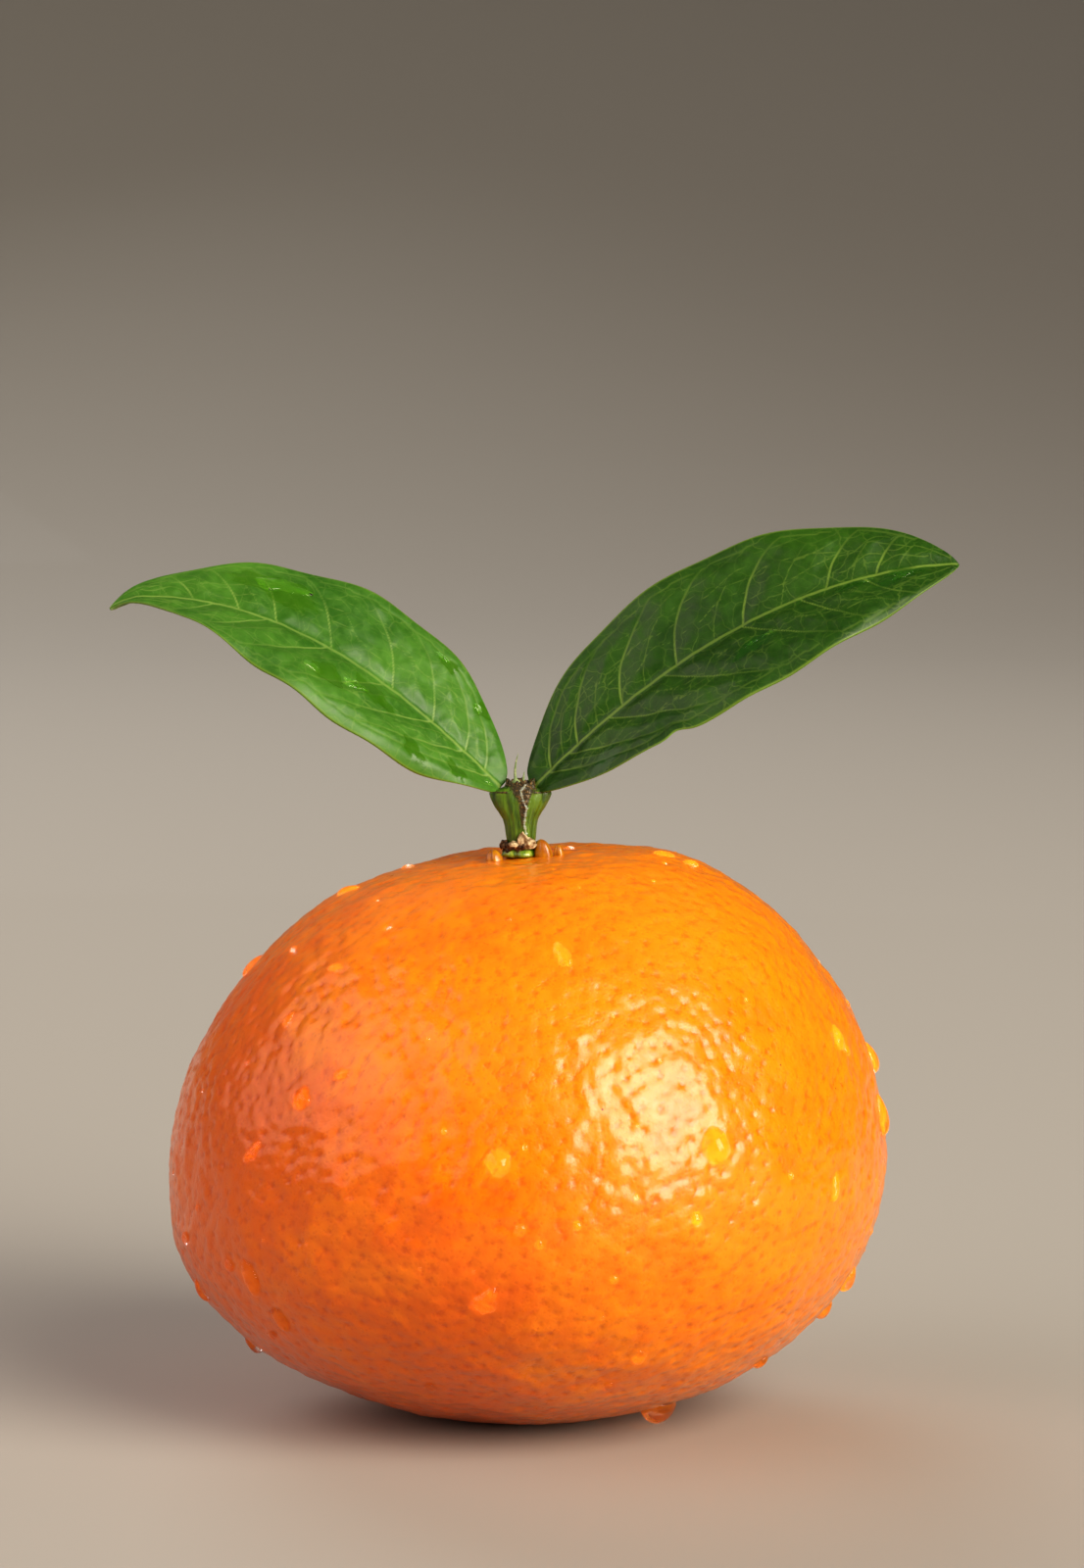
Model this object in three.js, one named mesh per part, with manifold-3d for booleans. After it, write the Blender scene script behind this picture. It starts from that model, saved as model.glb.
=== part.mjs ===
// A ripe orange of the small, flattened kind, picked with a stub of its twig.
// The stub still carries two leaves, one to each side, like a pair of wings.
//
// Millimetres, +Z up. The origin is the middle of the small flat spot that the
// fruit rests on. The leaves spread along X, and -Y is the side they face.

import * as THREE from 'three';
import Module from 'manifold-3d';
import { ParametricGeometry } from 'three/addons/geometries/ParametricGeometry.js';
import { mergeVertices } from 'three/addons/utils/BufferGeometryUtils.js';

// ---------------------------------------------------------------- dimensions

// The fruit: two half ellipsoids on one equator, with a sunken top, tipped a
// few degrees on the table and a little fuller on its left side.
const FRUIT = {
  radius: 38.5, // half its width at the equator
  crownHeight: 36.9, // equator to crown, before the dimple is sunk in it
  baseHeight: 26.4, // equator to the blossom end
  dimpleDepth: 3.0,
  dimpleRadius: 14.0,
  lean: THREE.MathUtils.degToRad(5.4), // the crown tips towards -X
  fullness: 0.064, // part by which the left side stands out and the right falls in
  depthRatio: 0.99, // front to back, against side to side
  axisOffset: 2.85, // from the resting spot to the fruit's middle, along +X
  flatDepth: 0.6, // how much the weight of the fruit has flattened its lowest point
};

// Pieces that touch on the real fruit stand this far apart.
const JOINT_GAP = 0.2;

// The green button left of the flower's calyx, sunk in the dimple.
const CALYX = { radius: 2.0, height: 0.75, lobes: 5, lobeDepth: 0.08 };

// The dried remains of the sepals and bark, a rough collar round the stem's foot.
const COLLAR = { radius: 1.95, height: 1.15, wall: 0.4, raggedness: 0.12, teeth: 7 };

// The twig stub. It widens sideways at its top, where a leaf leaves on each side.
const STEM = {
  radius: 1.7,
  footRadius: 1.3, // inside the collar
  height: 6.8,
  shoulderHeight: 4.8, // where the stub is widest
  shoulderSpread: 0.9, // extra width there, as a part of the radius
  shoulderLength: 1.3,
  cutRadius: 1.35, // the dry end between the leaves
};

// Stiff hairs on the cut end, the remains of the shoot's tip.
const LONG_BRISTLE = { name: 'bristle_long', length: 2.8, radius: 0.14, bend: 0.3, offset: -0.55 };
const SHORT_BRISTLE = { name: 'bristle_short', length: 0.8, radius: 0.13, bend: 0.15, offset: 0.3 };

// Each leaf: a midrib that leaves the stub steeply and bends over, and a blade
// that is rolled about the midrib, so that its upper face looks to -Y and up.
const LEFT_LEAF = {
  name: 'leaf_left',
  side: -1,
  length: 48.2,
  halfWidth: 10.2,
  baseFullness: 0.77, // powers of the width along the blade, at the base
  tipFullness: 1.02, // and at the tip
  rise: THREE.MathUtils.degToRad(45), // slope of the midrib at the base
  droop: THREE.MathUtils.degToRad(-10.4), // change of the slope along the blade
  tipDroop: THREE.MathUtils.degToRad(-42.7), // and its growth towards the tip
  roll: THREE.MathUtils.degToRad(43.5), // of the blade about the midrib, at the base
  twist: THREE.MathUtils.degToRad(-18.6), // change of the roll along the blade
  fold: THREE.MathUtils.degToRad(9.7), // how far each half is raised from flat
  foot: -2.0, // where the midrib starts, from the stem's axis
};
const RIGHT_LEAF = {
  name: 'leaf_right',
  side: 1,
  length: 52.4,
  halfWidth: 10.1,
  baseFullness: 0.68,
  tipFullness: 0.73,
  rise: THREE.MathUtils.degToRad(45.4),
  droop: THREE.MathUtils.degToRad(-19.7),
  tipDroop: THREE.MathUtils.degToRad(-23.2),
  roll: THREE.MathUtils.degToRad(46.2),
  twist: THREE.MathUtils.degToRad(-2.3),
  fold: THREE.MathUtils.degToRad(10.0),
  foot: 1.25,
};
const LEAF_THICKNESS = 0.5;
const LEAF_FOOT_HEIGHT = 66.9; // of the point where a midrib starts
const LEAF_CLEARANCE = 0.008; // part of the midrib left out at the joint with the stub

// Facets: enough for the outline, while the fine surface is made elsewhere.
const FRUIT_FACETS = { rings: 34, segments: 64 };
const LEAF_FACETS = { rings: 36, segments: 16 };
const SMALL_SEGMENTS = 20;

// ----------------------------------------------------------------- materials

const material = (color, roughness) =>
  new THREE.MeshStandardMaterial({ color, roughness, metalness: 0 });

const PEEL = material(0xf08a16, 0.38);
const LEAF = material(0x3d7a1e, 0.42);
const GREEN_BARK = material(0x5d7a1c, 0.5);
const BUTTON = material(0x86a032, 0.35);
const DRY_BARK = material(0xb79a68, 0.85);
const HAIR = material(0xa9b878, 0.6);

// -------------------------------------------------------------------- solids

const wasm = await Module();
wasm.setup();

/** The solid of a closed geometry, with its shared vertices merged. */
function solidOf(geometry) {
  const bare = geometry.clone();
  bare.deleteAttribute('normal');
  bare.deleteAttribute('uv');
  const merged = mergeVertices(bare, 1e-4);
  const corners = merged.index.array;
  const triVerts = [];
  for (let i = 0; i < corners.length; i += 3) {
    const [a, b, c] = corners.slice(i, i + 3);
    // The triangles at a pole have two corners in one point, and no area.
    if (a !== b && b !== c && c !== a) triVerts.push(a, b, c);
  }
  const vertProperties = merged.getAttribute('position').array;
  const mesh = new wasm.Mesh({ numProp: 3, vertProperties, triVerts: new Uint32Array(triVerts) });
  return new wasm.Manifold(mesh);
}

/** A geometry that holds a solid's faces. */
function geometryOf(solid) {
  const mesh = solid.getMesh();
  const geometry = new THREE.BufferGeometry();
  geometry.setAttribute('position', new THREE.BufferAttribute(mesh.vertProperties, 3));
  geometry.setIndex(new THREE.BufferAttribute(mesh.triVerts, 1));
  geometry.computeVertexNormals();
  return geometry;
}

/** A named mesh of a closed geometry or a solid. */
function piece(name, shape, look) {
  const solid = shape.isBufferGeometry ? solidOf(shape) : shape;
  const mesh = new THREE.Mesh(geometryOf(solid), look);
  mesh.name = name;
  return mesh;
}

// --------------------------------------------------------------------- fruit

/** A point of the peel in the fruit's own axes, polar from its crown. */
function peelPoint(polar, around, target) {
  const upper = Math.cos(polar) > 0;
  const reach = FRUIT.radius * Math.sin(polar);
  const dimple = upper ? FRUIT.dimpleDepth * Math.exp(-((reach / FRUIT.dimpleRadius) ** 2)) : 0;
  const height = (upper ? FRUIT.crownHeight : FRUIT.baseHeight) * Math.cos(polar) - dimple;
  const spread = reach * (1 - FRUIT.fullness * Math.cos(around) * Math.sin(polar));
  return target.set(
    spread * Math.cos(around),
    spread * Math.sin(around) * FRUIT.depthRatio,
    height,
  );
}

const LEAN_AXIS = new THREE.Vector3(0, -1, 0);

/** The depth of the leaning peel's lowest point below the fruit's middle. */
function lowestReach() {
  const steps = 2000;
  const point = new THREE.Vector3();
  let lowest = 0;
  for (let i = 0; i <= steps; i += 1) {
    const polar = Math.PI / 2 + (i / steps) * Math.PI;
    peelPoint(Math.min(polar, 2 * Math.PI - polar), polar > Math.PI ? Math.PI : 0, point);
    lowest = Math.min(lowest, point.applyAxisAngle(LEAN_AXIS, FRUIT.lean).z);
  }
  return -lowest;
}

const MIDDLE = new THREE.Vector3(FRUIT.axisOffset, 0, lowestReach() - FRUIT.flatDepth);

/** Moves a point from the fruit's own axes to where the fruit lies. */
const settle = (point) => point.applyAxisAngle(LEAN_AXIS, FRUIT.lean).add(MIDDLE);

const CROWN = settle(peelPoint(0, 0, new THREE.Vector3()));

/** The whole fruit, one body, cut off flat where it rests. */
function makeFruit() {
  const surface = (u, v, target) => settle(peelPoint(u * Math.PI, v * 2 * Math.PI, target));
  const round = new ParametricGeometry(surface, FRUIT_FACETS.rings, FRUIT_FACETS.segments);
  const side = 4 * FRUIT.radius;
  const table = new THREE.BoxGeometry(side, side, side).translate(0, 0, -side / 2);
  return piece('fruit', solidOf(round).subtract(solidOf(table)), PEEL);
}

// ---------------------------------------------------------------- the twig

/** A round body turned from [radius, height] points, standing along +Z. */
function turned(points) {
  const profile = points.map(([radius, height]) => new THREE.Vector2(radius, height));
  return new THREE.LatheGeometry(profile, SMALL_SEGMENTS).rotateX(Math.PI / 2);
}

/** Moves every corner of a geometry by a function of that corner. */
function reshape(geometry, move) {
  const position = geometry.getAttribute('position');
  const corner = new THREE.Vector3();
  for (let i = 0; i < position.count; i += 1) {
    move(corner.fromBufferAttribute(position, i));
    position.setXYZ(i, corner.x, corner.y, corner.z);
  }
  return geometry;
}

/** The calyx: a low round button, faintly lobed. */
function makeCalyx() {
  const { radius, height, lobes, lobeDepth } = CALYX;
  const button = turned([
    [0, 0],
    [0.85 * radius, 0],
    [radius, 0.4 * height],
    [0.92 * radius, 0.85 * height],
    [0.75 * radius, height],
    [0, height],
  ]);
  reshape(button, (corner) => {
    const swell = 1 + lobeDepth * Math.cos(lobes * Math.atan2(corner.y, corner.x));
    corner.x *= swell;
    corner.y *= swell;
  });
  return piece('calyx', button, BUTTON);
}

/** The dried collar: a ragged ring round the foot of the stem. */
function makeCollar() {
  const { radius, height, wall, raggedness, teeth } = COLLAR;
  const inner = radius - wall;
  const ring = turned([
    [inner, 0],
    [radius, 0],
    [radius, 0.45 * height],
    [inner + 0.5 * wall, height],
    [inner, 0.9 * height],
    [inner, 0],
  ]);
  reshape(ring, (corner) => {
    const turn = Math.atan2(corner.y, corner.x);
    corner.z *= 1 + raggedness * Math.sin(teeth * turn) * (corner.z / height);
  });
  return piece('dry_collar', ring, DRY_BARK);
}

/** The twig stub: round at its foot, twice as wide as deep at its shoulders. */
function makeStem() {
  const { radius, footRadius, height, cutRadius } = STEM;
  const stub = turned([
    [0, 0],
    [footRadius, 0],
    [footRadius, 0.12 * height],
    [0.98 * radius, 0.25 * height],
    [radius, 0.45 * height],
    [1.04 * radius, 0.6 * height],
    [1.04 * radius, 0.7 * height],
    [0.92 * radius, 0.76 * height],
    [1.02 * cutRadius, 0.81 * height],
    [cutRadius, height],
    [0, height],
  ]);
  reshape(stub, (corner) => {
    const fromShoulder = (corner.z - STEM.shoulderHeight) / STEM.shoulderLength;
    corner.x *= 1 + STEM.shoulderSpread * Math.exp(-(fromShoulder ** 2));
  });
  return piece('stem', stub, GREEN_BARK);
}

/** One stiff hair, tapered and bent a little to +X. */
function makeBristle({ name, length, radius, bend }) {
  const hair = turned([
    [0, 0],
    [1.6 * radius, 0],
    [radius, 0.15 * length],
    [0.85 * radius, 0.5 * length],
    [0.5 * radius, 0.85 * length],
    [0, length],
  ]);
  reshape(hair, (corner) => {
    corner.x += bend * (corner.z / length) ** 2;
  });
  return piece(name, hair, HAIR);
}

// -------------------------------------------------------------------- leaves

/** The width of a blade as a part of its greatest width, base 0 to tip 1. */
function widthAlong(u, { baseFullness, tipFullness }) {
  const widest = baseFullness / (baseFullness + tipFullness);
  const shape = (t) => t ** baseFullness * (1 - t) ** tipFullness;
  return shape(u) / shape(widest);
}

/** A leaf's midrib as a curve in the plane y = 0, from its slope's formula. */
function midribOf(leaf) {
  const steps = 64;
  const points = [new THREE.Vector3(0, 0, 0)];
  for (let i = 0; i < steps; i += 1) {
    const u = (i + 0.5) / steps;
    const slope = leaf.rise + leaf.droop * u + leaf.tipDroop * u * u;
    const stride = new THREE.Vector3(leaf.side * Math.cos(slope), 0, Math.sin(slope));
    points.push(stride.multiplyScalar(leaf.length / steps).add(points[i]));
  }
  return new THREE.CatmullRomCurve3(points);
}

/** One leaf: a thin closed blade round its midrib, rounded at its margin. */
function makeLeaf(leaf) {
  const midrib = midribOf(leaf);
  const place = new THREE.Vector3();
  const surface = (along, round, target) => {
    const u = LEAF_CLEARANCE + (1 - LEAF_CLEARANCE) * along;
    const slope = leaf.rise + leaf.droop * u + leaf.tipDroop * u * u;
    const roll = leaf.roll + leaf.twist * u;
    const upright = new THREE.Vector3(-leaf.side * Math.sin(slope), 0, Math.cos(slope));
    const across = new THREE.Vector3(0, Math.cos(roll), 0).addScaledVector(upright, Math.sin(roll));
    const facing = new THREE.Vector3(0, -Math.sin(roll), 0).addScaledVector(upright, Math.cos(roll));

    // Round the section: s runs from margin to margin, and back underneath.
    const turn = 2 * Math.PI * round * leaf.side;
    const s = -Math.cos(turn);
    const taper = Math.min(1, 12 * along * (1 - along)) ** 0.5;
    const opening = Math.min(1, 40 * along) ** 0.5;
    const half = leaf.halfWidth * widthAlong(u, leaf) * opening;
    const lift = half * Math.abs(s) * Math.sin(leaf.fold);
    midrib.getPointAt(u, place);
    return target
      .copy(place)
      .addScaledVector(across, half * s * Math.cos(leaf.fold))
      .addScaledVector(facing, lift + 0.5 * LEAF_THICKNESS * taper * Math.sin(turn));
  };
  const blade = new ParametricGeometry(surface, LEAF_FACETS.rings, LEAF_FACETS.segments);
  return piece(leaf.name, blade, leaf === LEFT_LEAF ? LEAF : LEAF.clone());
}

// ------------------------------------------------------------------ assembly

const orange = new THREE.Group();
orange.add(makeFruit());

// The button and the collar sit square on the fruit, so they lean with it.
const crown = new THREE.Group();
crown.position.copy(CROWN);
crown.rotation.y = -FRUIT.lean;
const calyx = makeCalyx();
calyx.position.z = JOINT_GAP;
const collar = makeCollar();
collar.position.z = calyx.position.z + CALYX.height + JOINT_GAP;
crown.add(calyx, collar);
orange.add(crown);

// The stub has grown upright from it.
const stub = new THREE.Group();
const STEM_FOOT = JOINT_GAP + CALYX.height + 2 * JOINT_GAP;
stub.position.set(CROWN.x, 0, CROWN.z + STEM_FOOT);
stub.add(makeStem());
for (const hair of [LONG_BRISTLE, SHORT_BRISTLE]) {
  const bristle = makeBristle(hair);
  bristle.position.set(hair.offset, 0, STEM.height + JOINT_GAP);
  stub.add(bristle);
}
orange.add(stub);

for (const leaf of [LEFT_LEAF, RIGHT_LEAF]) {
  const blade = makeLeaf(leaf);
  blade.position.set(CROWN.x + leaf.foot, 0, LEAF_FOOT_HEIGHT);
  orange.add(blade);
}

export default orange;
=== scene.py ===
"""Looks of a ripe orange on a stub of its twig, with two leaves and drops of water.

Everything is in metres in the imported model's frame: +Z up, the origin in the middle
of the flat spot that the fruit rests on, and -Y the front. Sizes are written in
millimetres, as one would measure them, and turned to metres where a mesh is made.
"""

import logging
import math
from dataclasses import dataclass, field
from enum import Enum
from typing import Mapping, Sequence

import bpy
import numpy as np
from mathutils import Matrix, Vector
from mathutils.bvhtree import BVHTree


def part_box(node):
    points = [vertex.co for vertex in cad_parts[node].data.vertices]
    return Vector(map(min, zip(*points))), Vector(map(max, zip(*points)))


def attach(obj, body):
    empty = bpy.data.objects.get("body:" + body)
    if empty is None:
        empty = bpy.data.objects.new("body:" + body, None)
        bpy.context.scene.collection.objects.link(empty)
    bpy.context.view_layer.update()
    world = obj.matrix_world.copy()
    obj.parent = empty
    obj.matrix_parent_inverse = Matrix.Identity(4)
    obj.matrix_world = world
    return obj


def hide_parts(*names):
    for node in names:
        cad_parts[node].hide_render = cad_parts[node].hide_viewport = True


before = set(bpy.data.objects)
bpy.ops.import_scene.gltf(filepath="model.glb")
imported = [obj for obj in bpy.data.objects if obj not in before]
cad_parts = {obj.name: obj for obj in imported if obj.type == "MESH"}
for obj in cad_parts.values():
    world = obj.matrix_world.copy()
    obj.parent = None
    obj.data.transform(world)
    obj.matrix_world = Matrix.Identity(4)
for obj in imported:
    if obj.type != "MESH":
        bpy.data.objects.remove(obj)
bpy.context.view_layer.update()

LOG = logging.getLogger("orange")
MM = 0.001
BODY = "root"
Colour = tuple[float, float, float, float]


# ----------------------------------------------------------------------- helpers


def linear(hex_colour: str) -> Colour:
    """Turns an sRGB colour to the linear one that a socket holds.

    Args:
        hex_colour: six hex digits, with or without a leading hash.

    Returns:
        Red, green, blue and an alpha of 1.
    """
    digits = hex_colour.lstrip("#")
    parts = [int(digits[i : i + 2], 16) / 255 for i in (0, 2, 4)]
    red, green, blue = (
        p / 12.92 if p <= 0.04045 else ((p + 0.055) / 1.055) ** 2.4 for p in parts
    )
    return red, green, blue, 1.0


def per_mm(size: float) -> float:
    """Turns a pattern's size in millimetres to the scale of a texture read in metres."""
    return 1 / (size * MM)


class Kind(Enum):
    """The types of node that are used often, each with its settings, sockets and output."""

    ADD = ("ShaderNodeMath", {"operation": "ADD"})
    SUBTRACT = ("ShaderNodeMath", {"operation": "SUBTRACT"})
    MULTIPLY = ("ShaderNodeMath", {"operation": "MULTIPLY"})
    DIVIDE = ("ShaderNodeMath", {"operation": "DIVIDE"})
    MULTIPLY_ADD = ("ShaderNodeMath", {"operation": "MULTIPLY_ADD"})
    MAXIMUM = ("ShaderNodeMath", {"operation": "MAXIMUM"})
    MINIMUM = ("ShaderNodeMath", {"operation": "MINIMUM"})
    POWER = ("ShaderNodeMath", {"operation": "POWER"})
    GREATER_THAN = ("ShaderNodeMath", {"operation": "GREATER_THAN"})
    VECTOR_ADD = ("ShaderNodeVectorMath", {"operation": "ADD"})
    VECTOR_SUBTRACT = ("ShaderNodeVectorMath", {"operation": "SUBTRACT"})
    VECTOR_MULTIPLY = ("ShaderNodeVectorMath", {"operation": "MULTIPLY"})
    VECTOR_MULTIPLY_ADD = ("ShaderNodeVectorMath", {"operation": "MULTIPLY_ADD"})
    SCALE = ("ShaderNodeVectorMath", {"operation": "SCALE"}, (0, "Scale"))
    LENGTH = ("ShaderNodeVectorMath", {"operation": "LENGTH"}, (0,), "Value")
    STEP = ("ShaderNodeMapRange", {"interpolation_type": "SMOOTHSTEP"})
    BLEND = ("ShaderNodeMix", {"data_type": "RGBA"}, (0, 6, 7), 2)
    NOISE = ("ShaderNodeTexNoise", {}, ("Vector", "Scale", "Detail", "Distortion"))
    CELLS = ("ShaderNodeTexVoronoi", {}, ("Vector", "Scale", "Randomness"), "Distance")
    RELIEF = ("ShaderNodeBump", {}, ("Strength", "Distance", "Height"))
    PLACE = ("ShaderNodeTexCoord", {}, (), "Object")
    ATTRIBUTE = ("ShaderNodeAttribute", {}, (), "Fac")
    SPLIT = ("ShaderNodeSeparateXYZ",)
    POSITION = ("GeometryNodeInputPosition",)
    NORMAL = ("GeometryNodeInputNormal",)
    NAMED = ("GeometryNodeInputNamedAttribute",)
    STORE = ("GeometryNodeStoreNamedAttribute", {}, ("Geometry", "Name", "Value"))
    SET_POSITION = ("GeometryNodeSetPosition", {}, ("Geometry", "Offset"))
    SCATTER = ("GeometryNodeDistributePointsOnFaces", {"distribute_method": "POISSON"})
    RANDOM = ("FunctionNodeRandomValue",)
    BALL = ("GeometryNodeMeshIcoSphere", {}, ("Radius", "Subdivisions"))
    COPIES = ("GeometryNodeInstanceOnPoints", {}, ("Points", "Instance", "Rotation", "Scale"))
    REALIZE = ("GeometryNodeRealizeInstances",)

    def __init__(self, type_name: str, settings: Mapping[str, str] | None = None,
                 sockets: tuple[int | str, ...] = (), out: int | str = 0) -> None:
        """Names the parts of a member's value.

        Args:
            type_name: the node's type name.
            settings: its own properties, which every node of this kind has.
            sockets: the inputs that values given in a row go into.
            out: the output that is used.
        """
        self.type_name = type_name
        self.settings = settings or {}
        self.sockets = sockets
        self.out = out


def plug(node: bpy.types.Node, inputs: Mapping[int | str, object]) -> None:
    """Fills a node's sockets.

    Args:
        node: the node.
        inputs: what goes into each socket, by name or place: a value, or another
            node's output socket, which is linked.
    """
    for key, value in inputs.items():
        if isinstance(value, bpy.types.NodeSocket):
            node.id_data.links.new(value, node.inputs[key])
        else:
            node.inputs[key].default_value = value


def add(tree: bpy.types.NodeTree, kind: Kind | str, *values: object, out: int | str | None = None,
        **settings: object) -> bpy.types.NodeSocket | None:
    """Adds a node with its settings and links.

    Args:
        tree: the tree that gets the node.
        kind: what it is, or its type name where it is used once.
        values: what goes into its sockets, as plug takes it: one mapping, or the
            values in a row, which go into the kind's own sockets or the first ones.
        out: the output to give back, where it isn't the kind's own or the first.
        settings: the node's own properties, set before its sockets are used.

    Returns:
        The output socket, through which the node is reached too, or None for a node
        that has no output.
    """
    known = isinstance(kind, Kind)
    node = tree.nodes.new(kind.type_name if known else kind)
    for name, value in ({**kind.settings, **settings} if known else settings).items():
        setattr(node, name, value)
    sockets = (kind.sockets if known else ()) or range(len(values))
    whole = len(values) == 1 and isinstance(values[0], Mapping)
    plug(node, values[0] if whole else dict(zip(sockets, values)))
    if out is None:
        out = kind.out if known else 0
    return node.outputs[out] if node.outputs else None


def smooth(low: float, high: float, value: np.ndarray | float) -> np.ndarray:
    """An S-shaped step from 0 at low to 1 at high.

    Args:
        low: where the step starts.
        high: where it ends.
        value: what is stepped.

    Returns:
        The step's height at each value.
    """
    t = np.clip((np.asarray(value, float) - low) / (high - low), 0, 1)
    return t * t * (3 - 2 * t)


def unit(vectors: np.ndarray) -> np.ndarray:
    """Scales each vector of an array to a length of 1."""
    lengths = np.linalg.norm(vectors, axis=-1, keepdims=True)
    return vectors / np.maximum(lengths, 1e-12)


def make_object(name: str, points_mm: np.ndarray, faces: Sequence[Sequence[int]]) -> bpy.types.Object:
    """Makes a smooth-shaded mesh object at the origin.

    Args:
        name: the piece's name.
        points_mm: corners, in millimetres.
        faces: the corners of each face, seen from outside in anticlockwise order.

    Returns:
        The object, linked to the scene.
    """
    mesh = bpy.data.meshes.new(name)
    mesh.from_pydata((np.asarray(points_mm) * MM).tolist(), [], [list(f) for f in faces])
    mesh.validate()
    mesh.shade_smooth()
    piece = bpy.data.objects.new(name, mesh)
    bpy.context.scene.collection.objects.link(piece)
    return piece


def set_attribute(piece: bpy.types.Object, name: str, values: np.ndarray) -> None:
    """Stores a number or a vector at each corner of a mesh.

    Args:
        piece: the mesh object.
        name: the attribute's name.
        values: one row for each corner, with one or three columns.
    """
    vector = values.ndim == 2
    kind = "FLOAT_VECTOR" if vector else "FLOAT"
    attribute = piece.data.attributes.new(name, kind, "POINT")
    attribute.data.foreach_set("vector" if vector else "value", values.astype(np.float32).ravel())


def grid_faces(rows: int, columns: int, closed: bool = False) -> np.ndarray:
    """The faces of a grid of corners that are numbered row by row.

    Args:
        rows: how many rows of corners.
        columns: how many corners in a row.
        closed: whether each row's end joins its start.

    Returns:
        Four corners for each face.
    """
    r = np.arange(rows - 1)[:, None]
    c = np.arange(columns if closed else columns - 1)[None, :]
    after = (c + 1) % columns
    corners = [r * columns + c, r * columns + after, (r + 1) * columns + after, (r + 1) * columns + c]
    return np.stack([np.broadcast_to(x, (rows - 1, c.size)) for x in corners], -1).reshape(-1, 4)


def finish_piece(
    piece: bpy.types.Object, replaces: Sequence[str] = (), body: str = BODY
) -> bpy.types.Object:
    """Fixes a finished piece to its body and the solids it stands for.

    Args:
        piece: the finished mesh object, with no live modifiers.
        replaces: the nodes that it stands for.
        body: the body that it rides on.

    Returns:
        The piece.
    """
    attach(piece, body)
    if replaces:
        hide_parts(*replaces)
    LOG.info("%s: %d faces", piece.name, len(piece.data.polygons))
    return piece


@dataclass(frozen=True)
class TreeInput:
    """One named input of a Geometry Nodes tree."""

    name: str
    socket: str
    value: object


class GeometryTree:
    """A Geometry Nodes tree with named inputs, built in the script and applied once."""

    def __init__(self, name: str, inputs: Sequence[TreeInput]) -> None:
        """Makes the tree with its sockets.

        Args:
            name: the tree's name.
            inputs: its named inputs, after the geometry.
        """
        self.tree = bpy.data.node_groups.new(name, "GeometryNodeTree")
        face = self.tree.interface
        face.new_socket("Geometry", in_out="INPUT", socket_type="NodeSocketGeometry")
        face.new_socket("Geometry", in_out="OUTPUT", socket_type="NodeSocketGeometry")
        self.values: dict[str, object] = {}
        for item in inputs:
            socket = face.new_socket(item.name, in_out="INPUT", socket_type=item.socket)
            self.values[socket.identifier] = item.value
        self.entry = add(self.tree, "NodeGroupInput").node.outputs

    def finish(self, geometry: bpy.types.NodeSocket, finish: bpy.types.Material) -> None:
        """Ends the tree: copies become real, and everything gets its material.

        Args:
            geometry: the socket with the result.
            finish: the material.
        """
        real = add(self.tree, Kind.REALIZE, geometry)
        shaded = add(self.tree, "GeometryNodeSetShadeSmooth", real)
        dressed = add(self.tree, "GeometryNodeSetMaterial", {"Geometry": shaded, "Material": finish})
        add(self.tree, "NodeGroupOutput", dressed)

    def apply(self, piece: bpy.types.Object) -> bpy.types.Object:
        """Runs the tree on a mesh object and keeps the result as its plain mesh.

        Args:
            piece: the object, which keeps its name and gets the new mesh.

        Returns:
            The same object, with no modifier.
        """
        modifier = piece.modifiers.new(self.tree.name, "NODES")
        modifier.node_group = self.tree
        for identifier, value in self.values.items():
            modifier[identifier] = value
        graph = bpy.context.evaluated_depsgraph_get()
        made = bpy.data.meshes.new_from_object(piece.evaluated_get(graph), depsgraph=graph)
        piece.modifiers.remove(modifier)
        old, name = piece.data, piece.data.name
        piece.data = made
        bpy.data.meshes.remove(old)
        made.name = name
        return piece


# ---------------------------------------------------------------------- finishes


class Rank(Enum):
    """A leaf's veins by size, each with the name of the attribute that holds its distance."""

    MIDRIB = "midrib_mm"
    LATERAL = "lateral_mm"
    THIN = "thin_mm"


@dataclass(frozen=True)
class Finish:
    """What every finish has: a material named for what it is, and its shader."""

    name: str
    slot: str

    def start(self) -> tuple[bpy.types.NodeTree, bpy.types.Node]:
        """Makes the material with an empty shader.

        Returns:
            The node tree and its Principled shader, joined to the output.
        """
        made = bpy.data.materials.new(self.name)
        made.use_nodes = True
        tree = made.node_tree
        tree.nodes.clear()
        shader = add(tree, "ShaderNodeBsdfPrincipled").node
        add(tree, "ShaderNodeOutputMaterial", shader.outputs[0])
        return tree, shader

    @property
    def material(self) -> bpy.types.Material:
        """The material, which is built when it is first asked for."""
        return bpy.data.materials.get(self.name) or self.build()

    def build(self) -> bpy.types.Material:
        """Makes the material."""
        raise NotImplementedError


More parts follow.
